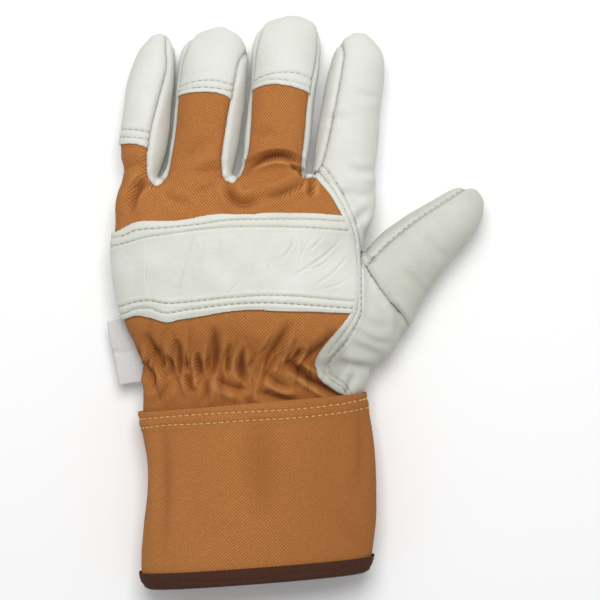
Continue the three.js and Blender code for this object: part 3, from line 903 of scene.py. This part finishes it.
STRAP_RISE = 1.7  # mm that the strap's outer face stands over the canvas
STRAP_DIP = (0.45, 1.1)  # mm that its edges are drawn down, and how far in
strap = pieces["knuckle_strap"]
points = positions(strap)
distance = nearest_distance(points, edge_points(strap), ROLL_REACH)
rise = STRAP_RISE - STRAP_DIP[0] * bell(distance, STRAP_DIP[1])
place(strap, points + normals(strap) * rise[:, None])
print("highest point of the strap in mm:", round(float(positions(strap)[:, 2].max()), 1))

# %% [markdown]
# Leather that has been bent stays creased. The strap has a few fine slanted wrinkles, and the stiff cuff
# has broad, shallow bends instead. Then every row of stitches pulls its thread into the surface. The mesh
# is made finer along each row, and a groove is pressed there, a little deeper at each needle hole.

# %% Wrinkles of the strap and bends of the cuff
STRAP_FOLDS = [
    (-46, 33, -48, 26, -50, 20, 0.55, 0.32),
    (-49.5, 22, -52, 12, -55, -1, 0.6, 0.36),
    (-42, 27, -43, 21, -46, 15, 0.5, 0.25),
    (-64, 14, -67, 7, -66, 0, 1.3, 0.16),
    (0, 31, -2, 25, -6, 20, 0.6, 0.3),
    (9, 31, 4, 24, 2, 17, 0.5, 0.22),
    (14, 32, 10, 27, 4, 23, 0.5, 0.22),
    (22, 30, 13, 21, -1, 12, 0.6, 0.34),
    (25, 22, 17, 13, 8, 7, 0.6, 0.28),
    (26, 12, 20, 8, 12, 6, 0.5, 0.25),
    (-24, 32, -29, 20, -34, 8, 1.9, 0.16),
    (-12, 31, -18, 17, -22, 5, 2.2, 0.14),
    (-76, 24, -74, 14, -77, 2, 2.0, 0.18),
    (-36, 31, -35, 25, -37, 18, 0.5, 0.2),
    (-47, 30, -45.5, 25, -47.5, 22, 0.4, 0.25),
    (-52, 10, -50.5, 6, -53, 2, 0.4, 0.22),
    (6, 30, 3.5, 26.5, 4, 22, 0.4, 0.26),
    (11, 29, 8.5, 25, 6, 22.5, 0.4, 0.26),
    (16, 20, 11, 16.5, 4, 15, 0.45, 0.28),
    (-9, 22, -12, 16, -12.5, 10, 0.4, 0.2),
    (-68, 20, -69.5, 14, -68.5, 8, 0.4, 0.2),
    (-26, 9, -29, 6, -31, 2, 0.4, 0.22),
]
CUFF_FOLDS = [
    (-16, -50, -16.5, -74, -14, -104, 9, 1.3),
    (-61.5, -54, -60.5, -86, -61.5, -122, 3.0, 1.1),
    (-71.5, -58, -70.5, -86, -72, -116, 2.0, 0.8),
    (29.5, -45, 31, -64, 30, -92, 2.4, 0.9),
    (20, -96, 26, -108, 34, -117, 5, 0.5),
]
CREASED = {"knuckle_strap": 1.3, "cuff": 1.2}  # times the depths in the tables
CREASE_CREST = 1.6
for name, folds in {"knuckle_strap": STRAP_FOLDS, "cuff": CUFF_FOLDS}.items():
    piece = pieces[name]
    points = positions(piece)
    directions = normals(piece)
    height = CREASED[name] * fold_heights(points, folds, CREASE_CREST) * facing_up(points, directions)
    place(piece, points + directions * height[:, None])
    # The wrinkles and bends get painted shade.
    add_painted_shade(piece, -CREASED[name] * height)

# %% The cuff's turned upper edge
HEM_RISE = 0.5  # mm that the cuff's turned upper edge stands proud
HEM_SLOPE = 1.2  # mm across the step
HEM_LINE = [(-90, -62), (-72, -60.6), (-40, -57.8), (0, -55.3), (30, -51.6), (50, -49)]
cuff_points = positions(pieces["cuff"])
distance, side, share = polyline_distance(cuff_points[:, :2], HEM_LINE)
turned = np.clip(0.5 + side * distance / HEM_SLOPE, 0, 1)
place(pieces["cuff"], cuff_points + normals(pieces["cuff"]) * (HEM_RISE * turned)[:, None])
print("points on the cuff's turned edge:", int((turned > 0.5).sum()))


# %% Rows of stitches, as lines on the plan
def between(line, other, share):
    """A line that runs part of the way from one line to another."""
    line, other = through(line, 4), through(other, 0.2)
    nearest = [other[np.argmin(np.hypot(*(other - point).T))] for point in line]
    return line + (np.array(nearest) - line) * share


LAP_ROW = [
    (12, 64.5), (15, 61.8), (20, 55), (25, 46), (29.5, 34), (31.2, 22), (31, 10), (30.9, 0), (30.3, -7),
    (24, -18.5), (17.8, -26), (15.8, -30), (17.7, -33.6), (23.4, -38), (27, -44),
]
LAP_INNER = between(LAP_ROW, LAP_LINE, 0.56)  # the second row, hidden at the strap and at the corner
inner_y = LAP_INNER[:, 1]
ROWS = {
    "knuckle_strap": [
        [(-87, 29.8), (-80, 31), (-74, 33.4), (-60, 34.5), (-45, 36), (-30, 38), (0, 38.5), (14, 38.1),
         (34, 36.5)],
        [(-87, 25.8), (-80, 27.3), (-70, 30), (-60, 31.5), (-40, 34), (-25, 35), (0, 34.8), (14, 34.1),
         (34, 32.6)],
        [(-87, -6.2), (-80, -5.5), (-75, -3.5), (-68, -3), (-60, -5.3), (-50, -3.7), (-30, -1.2), (-15, -0.4),
         (0, -1), (20, -2.5), (34, -3.6)],
        [(-87, -2.8), (-81, -2), (-75, -0.2), (-68, 0.6), (-60, -0.7), (-50, -0.1), (-30, 2), (-15, 3),
         (0, 2.7), (20, 1), (34, 0)],
    ],
    "little_cap": [
        [(-90, 77.2), (-83, 77.5), (-76, 77.1), (-69, 76), (-62, 73.6)],
        [(-90, 80.6), (-83, 81), (-76, 80.8), (-69, 79.6), (-62, 77)],
    ],
    "ring_cap": [
        [(-60, 96.8), (-53, 99.3), (-45, 100.3), (-38, 100.1), (-29, 98.5), (-24, 96.6)],
        [(-60, 98.6), (-52, 101.8), (-46, 103.3), (-38, 103.7), (-32, 102.4), (-24, 100.2)],
    ],
    "middle_cap": [
        [(-24, 99.6), (-17, 103), (-10, 104.1), (-3, 103.5), (4, 101.7), (12, 98.4)],
        [(-24, 101.2), (-16, 105.4), (-8, 107.2), (0, 107.2), (6, 105.4), (13, 102)],
    ],
    "palm": [
        LAP_INNER[inner_y > 25],
        LAP_INNER[(inner_y < 3) & (inner_y > -25)],
        LAP_INNER[inner_y < -34.5],
        LAP_ROW,
    ],
    "cuff": [
        [(-80, -55.4), (-72, -55), (-60, -53.7), (-40, -52.1), (-20, -51), (0, -50), (20, -47.9), (30, -46.2),
         (42, -44)],
        [(-80, -60), (-72, -59.3), (-60, -57.6), (-40, -56.5), (-20, -55), (0, -54), (20, -51.9), (30, -50.4),
         (42, -48)],
    ],
    "cuff_binding": [
        [(-80, -129.4), (-60, -129.5), (-40, -129.4), (-20, -128.2), (0, -125.6), (20, -123.7), (42, -120)],
    ],
}
STITCH_PITCH = 3.1  # mm from one needle hole to the next
GROOVE = {"cuff": (0.9, 0.45), "cuff_binding": (0.7, 0.2)}  # half width and depth
LEATHER_GROOVE = (0.5, 0.5)
GROOVE_REACH = 2.2  # mm on each side of a row where the mesh is made finer
GROOVE_BANK = (1.5, 0.7, 0.3)  # how far off and how wide its bank is in mm, and its share of the depth
GROOVE_SHADE = 1.6  # painted shade in a groove: mm of fold for each millimetre of groove
FINE_ENOUGH = 0.42  # mm, an edge that needs no cutting for a groove


# %% Press a groove along each row
def press_groove(piece, line, width, depth):
    """Makes the mesh finer along a row of stitches and presses it in, deepest at the needle holes."""
    line = through(line, SEAM_STEP)
    points = positions(piece)
    close = polyline_distance(points[:, :2], line)[0] < GROOVE_REACH
    close &= (points[:, 2] > SIDE_SEAM + 2) | (piece.name == "cuff_sewn")
    bm = reopen(piece)
    bm.verts.ensure_lookup_table()
    edges = [edge for edge in bm.edges if close[edge.verts[0].index] and close[edge.verts[1].index]]
    edges = [edge for edge in edges if edge.calc_length() > FINE_ENOUGH * MM]
    bmesh.ops.subdivide_edges(bm, edges=edges, cuts=1, use_grid_fill=True)
    bm.to_mesh(piece.data)
    bm.free()
    piece.data.shade_smooth()
    points = positions(piece)
    directions = normals(piece)
    distance, side, share = polyline_distance(points[:, :2], line)
    length = np.linalg.norm(np.diff(line[:, :2], axis=0), axis=1).sum()
    hole = 0.8 + 0.2 * np.cos(2 * np.pi * share * length / STITCH_PITCH)
    inside = (share > 0) & (share < 1)
    bank = GROOVE_BANK[2] * bell(distance - GROOVE_BANK[0], GROOVE_BANK[1])
    height = -depth * (hole * bell(distance, width) - bank) * inside
    if piece.name != "cuff_sewn":
        height *= facing_up(points, directions)
    place(piece, points + directions * height[:, None])
    # The groove gets painted shade.
    add_painted_shade(piece, GROOVE_SHADE * depth * inside * bell(distance, width))


for name, lines in ROWS.items():
    for line in lines:
        press_groove(pieces[name], line, *GROOVE.get(name, LEATHER_GROOVE))
    print(name, "faces with its grooves:", len(pieces[name].data.polygons))

# %% Give each piece its wall
# Walls, in millimetres. The outer face is where it was, so the thickness goes inwards.
SEWN_WALL = 1.8
WALLS = {"knuckle_strap": 1.2, "cuff": CUFF_WALL}
for name, piece in pieces.items():
    if name == "cuff_binding":
        continue
    wall = piece.modifiers.new("wall", "SOLIDIFY")
    wall.thickness = WALLS.get(name, SEWN_WALL) * MM
    wall.offset = -1
    wall.use_even_offset = name == "cuff"
    wall.material_offset = 1

# %% [markdown]
# A narrow satin loop is caught in the side seam near the wrist. It is one strip folded in half, so it has a
# round outer fold and two leaves. It is bent over a grid: one way runs along the seam, and the other goes
# out along the upper leaf, round the fold and back under.

# %% Satin tab in the side seam
TAB_ROOT = [(-79.4, -7.0), (-76, -16), (-72.6, -26), (-69.0, -37.2)]
TAB_FOLD = [(-88.8, -9.4), (-87.6, -18), (-85.2, -28), (-83.0, -39.3)]
TAB_LEAVES = 0.9  # mm between the two leaves at the fold
SATIN_WALL = 0.3
TAB_CREASE = -24  # where the tab is creased across


def along_tab(line, share):
    """The points at these shares of the way along a line."""
    points = through(line, 0.5)
    return points[np.clip((share * (len(points) - 1)).astype(int), 0, len(points) - 1)]


bm = bmesh.new()
bmesh.ops.create_grid(bm, x_segments=36, y_segments=44, size=1)
grid = np.array([vert.co[:2] for vert in bm.verts])
seam_share = (grid[:, 0] + 1) / 2
turn = grid[:, 1]  # -1 at the root of the lower leaf, 0 at the fold, 1 at the root of the upper leaf
out = 1 - np.abs(turn) ** 1.15
root, fold = along_tab(TAB_ROOT, seam_share), along_tab(TAB_FOLD, seam_share)
plan = root + (fold - root) * out[:, None]
leaf = np.sign(turn) * TAB_LEAVES / 2 * np.sqrt(np.clip(1 - out**8, 0, 1))
curl = 1.6 * out**2 * (seam_share - 0.35) - 0.9 * out * bell(plan[:, 1] - TAB_CREASE, 1.3)
height = SIDE_SEAM - TAB_LEAVES / 2 + leaf + curl + 0.25 * np.sin(seam_share * 9)
for vert, (x, y), z in zip(bm.verts, plan, height):
    vert.co = Vector((x, y, z)) * MM
bmesh.ops.recalc_face_normals(bm, faces=bm.faces)
pieces["side_tab"] = finish_mesh(bm, "side_tab_folded")
tab_wall = pieces["side_tab"].modifiers.new("wall", "SOLIDIFY")
tab_wall.thickness = SATIN_WALL * MM
tab_wall.offset = 0

# %% [markdown]
# Cowhide is cream and matt, with pores finer than a millimetre, fine wrinkles that lie one way where it
# has been worked, and faint warm patches where the hide was uneven. Each of these is one procedural layer,
# scaled from its real size, so the same leather fits every piece without any unwrapping.

# %% Shared helpers for materials


def linear(hex_colour):
    """An sRGB hex colour as the linear RGBA that shaders use."""
    values = [int(hex_colour[i : i + 2], 16) / 255 for i in (1, 3, 5)]
    return (*[v / 12.92 if v <= 0.04045 else ((v + 0.055) / 1.055) ** 2.4 for v in values], 1.0)


def start_material(name, base, roughness, **shader):
    """A new material with its colour and roughness on the shader's own sockets."""
    material = bpy.data.materials.new(name)
    material.use_nodes = True
    bsdf = material.node_tree.nodes["Principled BSDF"]
    bsdf.inputs["Base Color"].default_value = linear(base)
    bsdf.inputs["Roughness"].default_value = roughness
    for socket, value in shader.items():
        bsdf.inputs[socket.replace("_", " ")].default_value = value
    return material, material.node_tree, bsdf


def add(tree, kind, links=(), values=(), **settings):
    """One node, with its settings, its socket values and its incoming links."""
    node = tree.nodes.new("ShaderNode" + kind)
    for key, value in settings.items():
        setattr(node, key, value)
    for socket, value in dict(values).items():
        node.inputs[socket].default_value = value
    for socket, source in dict(links).items():
        tree.links.new(source, node.inputs[socket])
    return node


def per_mm(size):
    """A texture scale that gives features of this size in millimetres."""
    return 1 / (size * MM)


# %% Cowhide
PORE = 0.9  # mm, drawn about twice its real size so that it shows
WRINKLE = 3.4  # mm between fine wrinkles
WRINKLE_LENGTH = 4.0  # times as long as they are apart
PATCH = 26  # mm across a patch of uneven hide
TO_THE_HEEL = (0.4, -0.92, 0)  # the way to the heel of the thumb, towards the lower right, where the leather is painted in shade
HEEL_SHADE = "#AFAFA1"


def share_of(tree, source, low, high, to_low=0.0, to_high=1.0):
    """A value spread from its own range to another, without going past it."""
    values = {"From Min": low, "From Max": high, "To Min": to_low, "To Max": to_high}
    return add(tree, "MapRange", {"Value": source}, values).outputs[0]


def blend_colours(tree, factor, first, second):
    """A mix of two colours, each a hex value or a link."""
    links, values = {0: factor}, {}
    for socket, colour in ((6, first), (7, second)):
        if isinstance(colour, str):
            values[socket] = linear(colour)
        else:
            links[socket] = colour
    return add(tree, "Mix", links, values, data_type="RGBA").outputs[2]


def bumps(tree, bsdf, *layers):
    """Stacks bump layers, each a height and its depth in millimetres, coarse ones first."""
    normal = None
    for height, depth in layers:
        links = {"Height": height} if normal is None else {"Height": height, "Normal": normal}
        normal = add(tree, "Bump", links, {"Strength": 1.0, "Distance": depth * MM}).outputs[0]
    tree.links.new(normal, bsdf.inputs["Normal"])


def painted_shade_depth(tree):
    """How much painted shade this point takes, in millimetres of fold or groove depth."""
    return add(tree, "Attribute", attribute_name="fold").outputs["Fac"]


def cowhide(name, base, warm, crease_shade, angle, wrinkle_depth, worked_from, heel_shade=0.0):
    """Cream grain leather: a dull sheen, pores, and fine wrinkles that lie one way where it was worked."""
    material, tree, bsdf = start_material(name, base, 0.52, Specular_IOR_Level=0.32, IOR=1.45)
    here = add(tree, "TexCoord").outputs["Object"]
    drawn_out = {"Rotation": (0, 0, math.radians(angle)), "Scale": (1, 1 / WRINKLE_LENGTH, 1)}
    turned = add(tree, "Mapping", {"Vector": here}, drawn_out).outputs[0]
    ridged = {"Scale": per_mm(2 * WRINKLE), "Detail": 3, "Roughness": 0.55, "Distortion": 0.5}
    ridges = add(
        tree, "TexNoise", {"Vector": turned}, ridged, noise_type="RIDGED_MULTIFRACTAL"
    ).outputs["Fac"]
    crease = share_of(tree, ridges, 0.5, 0.85)
    area = add(tree, "TexNoise", {"Vector": here}, {"Scale": per_mm(22), "Detail": 2}).outputs["Fac"]
    worked = share_of(tree, area, worked_from, worked_from + 0.16)
    creased = add(tree, "Math", {0: crease, 1: worked}, operation="MULTIPLY").outputs[0]
    flat = add(tree, "Math", {1: creased}, {0: 1.0}, operation="SUBTRACT").outputs[0]
    grain = add(tree, "TexNoise", {"Vector": here}, {"Scale": per_mm(2.6), "Detail": 4, "Roughness": 0.65})
    pores = add(tree, "TexVoronoi", {"Vector": here}, {"Scale": per_mm(PORE)})
    patch = add(tree, "TexNoise", {"Vector": here}, {"Scale": per_mm(PATCH), "Detail": 5, "Roughness": 0.6})
    hide = blend_colours(tree, share_of(tree, patch.outputs["Fac"], 0.36, 0.66), base, warm)
    # Darker towards the heel of the thumb: painted shade.
    lower = add(tree, "VectorMath", {0: here}, {1: TO_THE_HEEL}, operation="DOT_PRODUCT").outputs["Value"]
    hide = blend_colours(tree, share_of(tree, lower, -5 * MM, 32 * MM, 0, heel_shade), hide, HEEL_SHADE)
    # Creases and folds are painted darker, as shade.
    in_fold = share_of(tree, painted_shade_depth(tree), 0.25, 1.3)
    shade_share = add(tree, "Math", {0: creased, 1: in_fold}, operation="MAXIMUM").outputs[0]
    unshaded_share = share_of(tree, shade_share, 0, 1, 1, 0.45)
    tree.links.new(blend_colours(tree, unshaded_share, crease_shade, hide), bsdf.inputs["Base Color"])
    gloss = share_of(tree, patch.outputs["Fac"], 0.3, 0.7, 0.46, 0.6)
    tree.links.new(gloss, bsdf.inputs["Roughness"])
    bumps(tree, bsdf, (flat, wrinkle_depth), (grain.outputs["Fac"], 0.28), (pores.outputs["Distance"], 0.07))
    return material


# The fourth colour of each hide is its painted shade in creases and folds.
hide = cowhide("cowhide", "#DADBD5", "#D4D5CC", "#97968A", 20, 0.9, 0.42, 0.55)
# The thumb's base colours are darker than the palm's: partly painted shade, partly a greyer hide.
thumb_hide = cowhide("cowhide_thumb", "#CBCCC2", "#C2C3B7", "#8F8D7F", -35, 0.8, 0.36, 0.15)
strap_hide = cowhide("cowhide_strap", "#D9DAD2", "#D2D3C8", "#8F8E80", -20, 0.7, 0.42)

# %% [markdown]
# Duck is a plain weave of two tones: thick cotton threads go over and under each other, a little less
# than a millimetre apart. Two sine waves at right angles, multiplied, rise where a thread is on top, and
# the same product tints the tops paler than the dips. Slow noise adds the slubs and the uneven dye. The
# dips of the folds get painted shade and their crests a painted highlight, and the back is painted darker
# towards the wrist and the cuff towards its right side, as shade.

# %% Duck canvas
THREAD = 0.8  # mm from one thread to the next
WAVE_PERIOD = 0.314159  # a wave texture of scale 1 repeats after this many metres
CREST_HIGHLIGHT = "#DDA063"  # painted highlight on the crests of the cloth's folds
MIDDLE_X = -22  # the weave runs out both ways from here, and down round the sides
HALF = 40  # mm to each side of the middle, where the weave has turned down
TOP_Z = 36
CUFF_TURN = 0.086  # radians that the cuff is turned on the plan


def duck(name, light, dark, deep_shade, shade_way, shade_from, shade_to, shade_strength, turn=0.0):
    """Tan cotton duck: matt, faintly fuzzy, woven in two tones."""
    material, tree, bsdf = start_material(name, light, 0.95, Specular_IOR_Level=0.06, Sheen_Weight=0.04)
    here = add(tree, "TexCoord").outputs["Object"]
    place_of = add(tree, "SeparateXYZ", {0: here}).outputs
    side = share_of(tree, place_of["X"], (MIDDLE_X - HALF) * MM, (MIDDLE_X + HALF) * MM, -1, 1)
    drop = add(tree, "Math", {1: place_of["Z"]}, {0: TOP_Z * MM}, operation="SUBTRACT").outputs[0]
    round_side = add(tree, "Math", {0: side, 1: drop}, operation="MULTIPLY").outputs[0]
    shift = add(tree, "CombineXYZ", {"X": round_side}).outputs[0]
    laid = add(tree, "VectorMath", {0: here, 1: shift}, operation="ADD").outputs[0]
    turned = add(tree, "Mapping", {"Vector": laid}, {"Rotation": (0, 0, turn)}).outputs[0]
    jitter = add(tree, "TexNoise", {"Vector": turned}, {"Scale": per_mm(5), "Detail": 2}).outputs["Color"]
    nudge = add(tree, "VectorMath", {0: jitter}, {"Scale": 0.8 * MM}, operation="SCALE").outputs[0]
    cloth = add(tree, "VectorMath", {0: turned, 1: nudge}, operation="ADD").outputs[0]
    waves = []
    pitch = {"Scale": WAVE_PERIOD / (2 * THREAD * MM)}
    for direction in ("X", "Y"):
        wave = add(tree, "TexWave", {"Vector": cloth}, pitch, bands_direction=direction)
        waves.append(share_of(tree, wave.outputs["Fac"], 0, 1, -1, 1))
    over = add(tree, "Math", {0: waves[0], 1: waves[1]}, operation="MULTIPLY").outputs[0]
    height = share_of(tree, over, -1, 1)
    slub = add(tree, "TexNoise", {"Vector": turned}, {"Scale": per_mm(1.6), "Detail": 3, "Roughness": 0.7})
    uneven = share_of(tree, slub.outputs["Fac"], 0.25, 0.75, 0.5, 1)
    tone = add(tree, "Math", {0: height, 1: uneven}, operation="MULTIPLY").outputs[0]
    dye = add(tree, "TexNoise", {"Vector": turned}, {"Scale": per_mm(34), "Detail": 4}).outputs["Fac"]
    woven = blend_colours(tree, share_of(tree, tone, 0.0, 0.75), dark, light)
    faded = blend_colours(tree, share_of(tree, dye, 0.3, 0.75, 0.0, 0.18), woven, dark)
    # Folds and grooves are painted darker, as shade.
    in_fold = share_of(tree, painted_shade_depth(tree), 0.2, 4.0, 0, 0.75)
    # Darker towards one side of the piece: painted shade.
    lower = add(tree, "VectorMath", {0: here}, {1: shade_way}, operation="DOT_PRODUCT").outputs["Value"]
    with_painted_light = blend_colours(tree, share_of(tree, lower, shade_from * MM, shade_to * MM, 0, shade_strength), faded, deep_shade)
    # The crests of the folds get a painted highlight.
    crest_share = add(tree, "Attribute", attribute_name="crest").outputs["Fac"]
    with_painted_light = blend_colours(tree, share_of(tree, crest_share, 0.1, 0.8, 0, 0.3), with_painted_light, CREST_HIGHLIGHT)
    tree.links.new(blend_colours(tree, in_fold, with_painted_light, deep_shade), bsdf.inputs["Base Color"])
    bumps(tree, bsdf, (slub.outputs["Fac"], 0.25), (height, 0.2))
    return material


# Painted shade: the back is darker towards the wrist, the cuff towards its right side.
back_duck = duck("duck_back", "#CE8B50", "#8F5628", "#6E390F", (0, -1, 0), 4, 24, 0.16)
cuff_duck = duck("duck_cuff", "#C7854E", "#905A2A", "#7F4A1F", (1, 0, 0), -22, 36, 0.3, CUFF_TURN)


# %% Tape, satin, lining and thread
def woven_trim(name, base, dark, pitch, roughness):
    """A narrow trim woven in fine ribs across its length."""
    material, tree, bsdf = start_material(name, base, roughness, Specular_IOR_Level=0.25)
    here = add(tree, "TexCoord").outputs["Object"]
    rib = add(tree, "TexWave", {"Vector": here}, {"Scale": WAVE_PERIOD / (pitch * MM), "Distortion": 0.6})
    speckle = add(tree, "TexNoise", {"Vector": here}, {"Scale": per_mm(1.4), "Detail": 3}).outputs["Fac"]
    tone = add(tree, "Math", {0: rib.outputs["Fac"], 1: speckle}, operation="MULTIPLY").outputs[0]
    tree.links.new(blend_colours(tree, share_of(tree, tone, 0.1, 0.6), dark, base), bsdf.inputs["Base Color"])
    bumps(tree, bsdf, (speckle, 0.2), (rib.outputs["Fac"], 0.12))
    return material


def twisted_thread(name, base, dark):
    """Two-ply sewing thread: the ply shows as fine slanted bands."""
    material, tree, bsdf = start_material(name, base, 0.6, Specular_IOR_Level=0.3)
    here = add(tree, "TexCoord").outputs["Object"]
    ply = add(
        tree, "TexWave", {"Vector": here}, {"Scale": WAVE_PERIOD / (0.7 * MM), "Distortion": 1.0},
        bands_direction="DIAGONAL",
    ).outputs["Fac"]
    tree.links.new(blend_colours(tree, ply, dark, base), bsdf.inputs["Base Color"])
    return material


binding_tape = woven_trim("binding_tape", "#503020", "#3F2418", 0.9, 0.85)
satin = woven_trim("label_satin", "#E2E2E1", "#D2D2D1", 0.6, 0.42)
nap = woven_trim("napped_lining", "#C9B496", "#A58C6C", 2.4, 0.97)
thread_grey = twisted_thread("thread_grey", "#A5A697", "#7E7F70")
thread_gold = twisted_thread("thread_gold", "#E0BC7C", "#B38A4C")
thread_brown = twisted_thread("thread_brown", "#4A2F26", "#2C1A14")

# %% [markdown]
# Each piece then gets its finish: the outer face first and the inner face second. The inside of the hand
# shows its napped lining in the cuff's mouth, and the cuff is duck on both sides.

# %% Dress the pieces
FINISHES = {
    "back_canvas": (back_duck, nap, "canvas"),
    "knuckle_strap": (strap_hide, strap_hide, "leather"),
    "thumb_back": (thumb_hide, nap, "leather"),
    "thumb_front": (thumb_hide, nap, "leather"),
    "cuff": (cuff_duck, cuff_duck, "canvas"),
    "cuff_binding": (binding_tape, binding_tape, "binding"),
    "side_tab": (satin, satin, "tab"),
}
RESTING = ("palm", "ring_front", "middle_front")  # their walls are made real and kept above the floor
for name, piece in pieces.items():
    outer, inner, slot = FINISHES.get(name, (hide, nap, "leather"))
    piece.data.materials.clear()
    piece.data.materials.append(outer)
    piece.data.materials.append(inner)
    if name in RESTING:
        apply_modifiers(piece)
        place(piece, positions(piece))
    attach(piece, "root")
    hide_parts(name)
bpy.data.objects.remove(skin)

# %% [markdown]
# A lock stitch is a short length of thread that dives into the leather at both ends. Each one here is a
# small stretched sphere, laid along the line between two points of the surface, and a whole row is one
# mesh. The points come from rays: straight down where the row runs on top, and in towards the middle of
# the glove where it goes round a side.


# %% Sew the rows
RAYS_FROM = 80  # higher than any point of the glove
LEAST_TILT = 0.25  # a surface steeper than this takes no stitch from above
SEWING_STEP = 0.4  # mm from ray to ray


def surface(piece):
    """What the piece shows, ready for rays."""
    return BVHTree.FromObject(piece, bpy.context.evaluated_depsgraph_get())


def seen_from_above(tree, line):
    """Points and normals of the surface under a line on the plan."""
    found = []
    for x, y in through(line, SEWING_STEP)[:, :2]:
        spot, normal, face, distance = tree.ray_cast(Vector((x, y, RAYS_FROM)) * MM, Vector((0, 0, -1)))
        if spot and normal.z > LEAST_TILT:
            found.append((spot, normal))
    return found


def seen_from_round(tree, line, axis, angles):
    """Points and normals where rays towards an axis along Y meet the surface, following the line."""
    curve = through(line, SEWING_STEP)
    found = []
    for angle in angles:
        way = Vector((-math.cos(angle), 0, -math.sin(angle)))
        y = float(np.interp(axis[0] + 40 * math.cos(angle), curve[:, 0], curve[:, 1]))
        for attempt in range(4):
            start = Vector((axis[0], y, axis[1])) * MM - way * 0.15
            spot, normal, face, distance = tree.ray_cast(start, way)
            if spot is None:
                break
            y = float(np.interp(spot.x / MM, curve[:, 0], curve[:, 1]))
        if spot and normal.dot(way) < 0:
            found.append((spot, normal))
    return found


def sew(bm, path, pitch, length, radius, proud):
    """Adds a stitch at every pitch along a path of points and normals."""
    spots = [spot for spot, normal in path]
    gone = 0.0
    marks = [0.0]
    for one, other in zip(spots, spots[1:]):
        gone += (other - one).length / MM
        marks.append(gone)
    since = pitch / 2
    while since + length / 2 < gone:
        first, middle, last = [int(np.searchsorted(marks, since + d * length / 2)) for d in (-1, 0, 1)]
        last = min(last, len(spots) - 1)
        along = spots[last] - spots[first]
        if along.length / MM < 1.5 * length:
            normal = path[middle][1]
            across = normal.cross(along).normalized()
            up = along.cross(across).normalized() * -1
            turn = Matrix((along.normalized(), across, up)).transposed().to_4x4()
            size = Matrix.Diagonal((length / 2 * MM, radius * MM, radius * MM, 1))
            centre = (spots[first] + spots[last]) / 2 + normal * proud * MM
            matrix = Matrix.Translation(centre) @ turn @ size
            bmesh.ops.create_icosphere(bm, subdivisions=1, radius=1, matrix=matrix)
        since += pitch


# Rows that go round a side: x and z of the axis that the rays run in to, and their angles.
SPOKES = {
    "knuckle_strap": ((-27, SIDE_SEAM), np.radians(np.arange(180, 8, -0.35))),
    "little_cap": ((-71, SIDE_SEAM), np.radians(np.arange(180, 30, -0.9))),
    "ring_cap": ((-41, SIDE_SEAM), np.radians(np.arange(150, 30, -0.9))),
    "middle_cap": ((-7, SIDE_SEAM), np.radians(np.arange(150, 20, -0.9))),
    "cuff": ((-17, 17), np.radians(np.arange(0, 360, 0.4))),
    "cuff_binding": ((-17, 17), np.radians(np.arange(0, 360, 0.4))),
}
# The thread of a row, its radius, and the length of a stitch.
THREADS = {"cuff": (thread_gold, 0.42, 2.8), "cuff_binding": (thread_brown, 0.3, 2.2)}
for name, lines in ROWS.items():
    tree = surface(pieces[name])
    thread, radius, length = THREADS.get(name, (thread_grey, 0.17, 2.6))
    bm = bmesh.new()
    for line in lines:
        path = seen_from_round(tree, line, *SPOKES[name]) if name in SPOKES else seen_from_above(tree, line)
        sew(bm, path, STITCH_PITCH, length, radius, radius * 0.25)
    stitches = finish_mesh(bm, name + "_stitches")
    place(stitches, positions(stitches))
    stitches.data.materials.append(thread)
    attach(stitches, "root")
    print(stitches.name, len(stitches.data.polygons))

bm = bmesh.new()
for name in ("thumb_back", "thumb_front"):
    sew(bm, seen_from_above(surface(pieces[name]), THUMB_SEAM[1:-1]), STITCH_PITCH, 1.9, 0.19, 0)
thumb_stitches = finish_mesh(bm, "thumb_seam_stitches")
thumb_stitches.data.materials.append(thread_grey)
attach(thumb_stitches, "root")

# %% [markdown]
# The photograph looks straight down in soft, almost shadowless light. A pale even sky does most of it, and
# a wide lamp over the fingertips gives the padding its roundness.

# %% Floor, light and camera
bm = bmesh.new()
bmesh.ops.create_grid(bm, x_segments=1, y_segments=1, size=2)
floor = finish_mesh(bm, "floor")
paper, paper_tree, paper_bsdf = start_material("paper_sweep", "#FBFBFB", 0.9, Specular_IOR_Level=0.1)
grain = add(paper_tree, "TexNoise", {}, {"Scale": per_mm(3)}).outputs["Fac"]
bumps(paper_tree, paper_bsdf, (grain, 0.02))
floor.data.materials.append(paper)

scene = bpy.context.scene
SKY_STRENGTH = 0.47
LAMP_WATTS = 8.2
LAMP_SIZE = 0.6
LAMP_PLACE = Vector((0.0, 0.42, 1.0))
sky = bpy.data.worlds.new("sky")
scene.world = sky
sky.use_nodes = True
sky.node_tree.nodes["Background"].inputs["Color"].default_value = (1, 1, 1, 1)
sky.node_tree.nodes["Background"].inputs["Strength"].default_value = SKY_STRENGTH
lamp_data = bpy.data.lights.new("soft_lamp", "AREA")
lamp_data.energy = LAMP_WATTS
lamp_data.size = LAMP_SIZE
lamp = bpy.data.objects.new("soft_lamp", lamp_data)
scene.collection.objects.link(lamp)
lamp.location = LAMP_PLACE
lamp.rotation_euler = (-LAMP_PLACE).to_track_quat("-Z", "Y").to_euler()

VIEW_WIDTH = 0.2832  # metres across the photograph at the height of the glove
VIEW_MIDDLE = (0.0024, 0.0009)  # metres, the point of the plan in the middle of the photograph
SENSOR = 36
LENS = 150
camera_data = bpy.data.cameras.new("camera")
camera_data.lens = LENS
camera = bpy.data.objects.new("camera", camera_data)
scene.collection.objects.link(camera)
camera.location = (*VIEW_MIDDLE, VIEW_WIDTH * LENS / SENSOR + 15 * MM)
scene.camera = camera
scene.view_settings.view_transform = "Standard"

# %% The end
bpy.context.view_layer.update()
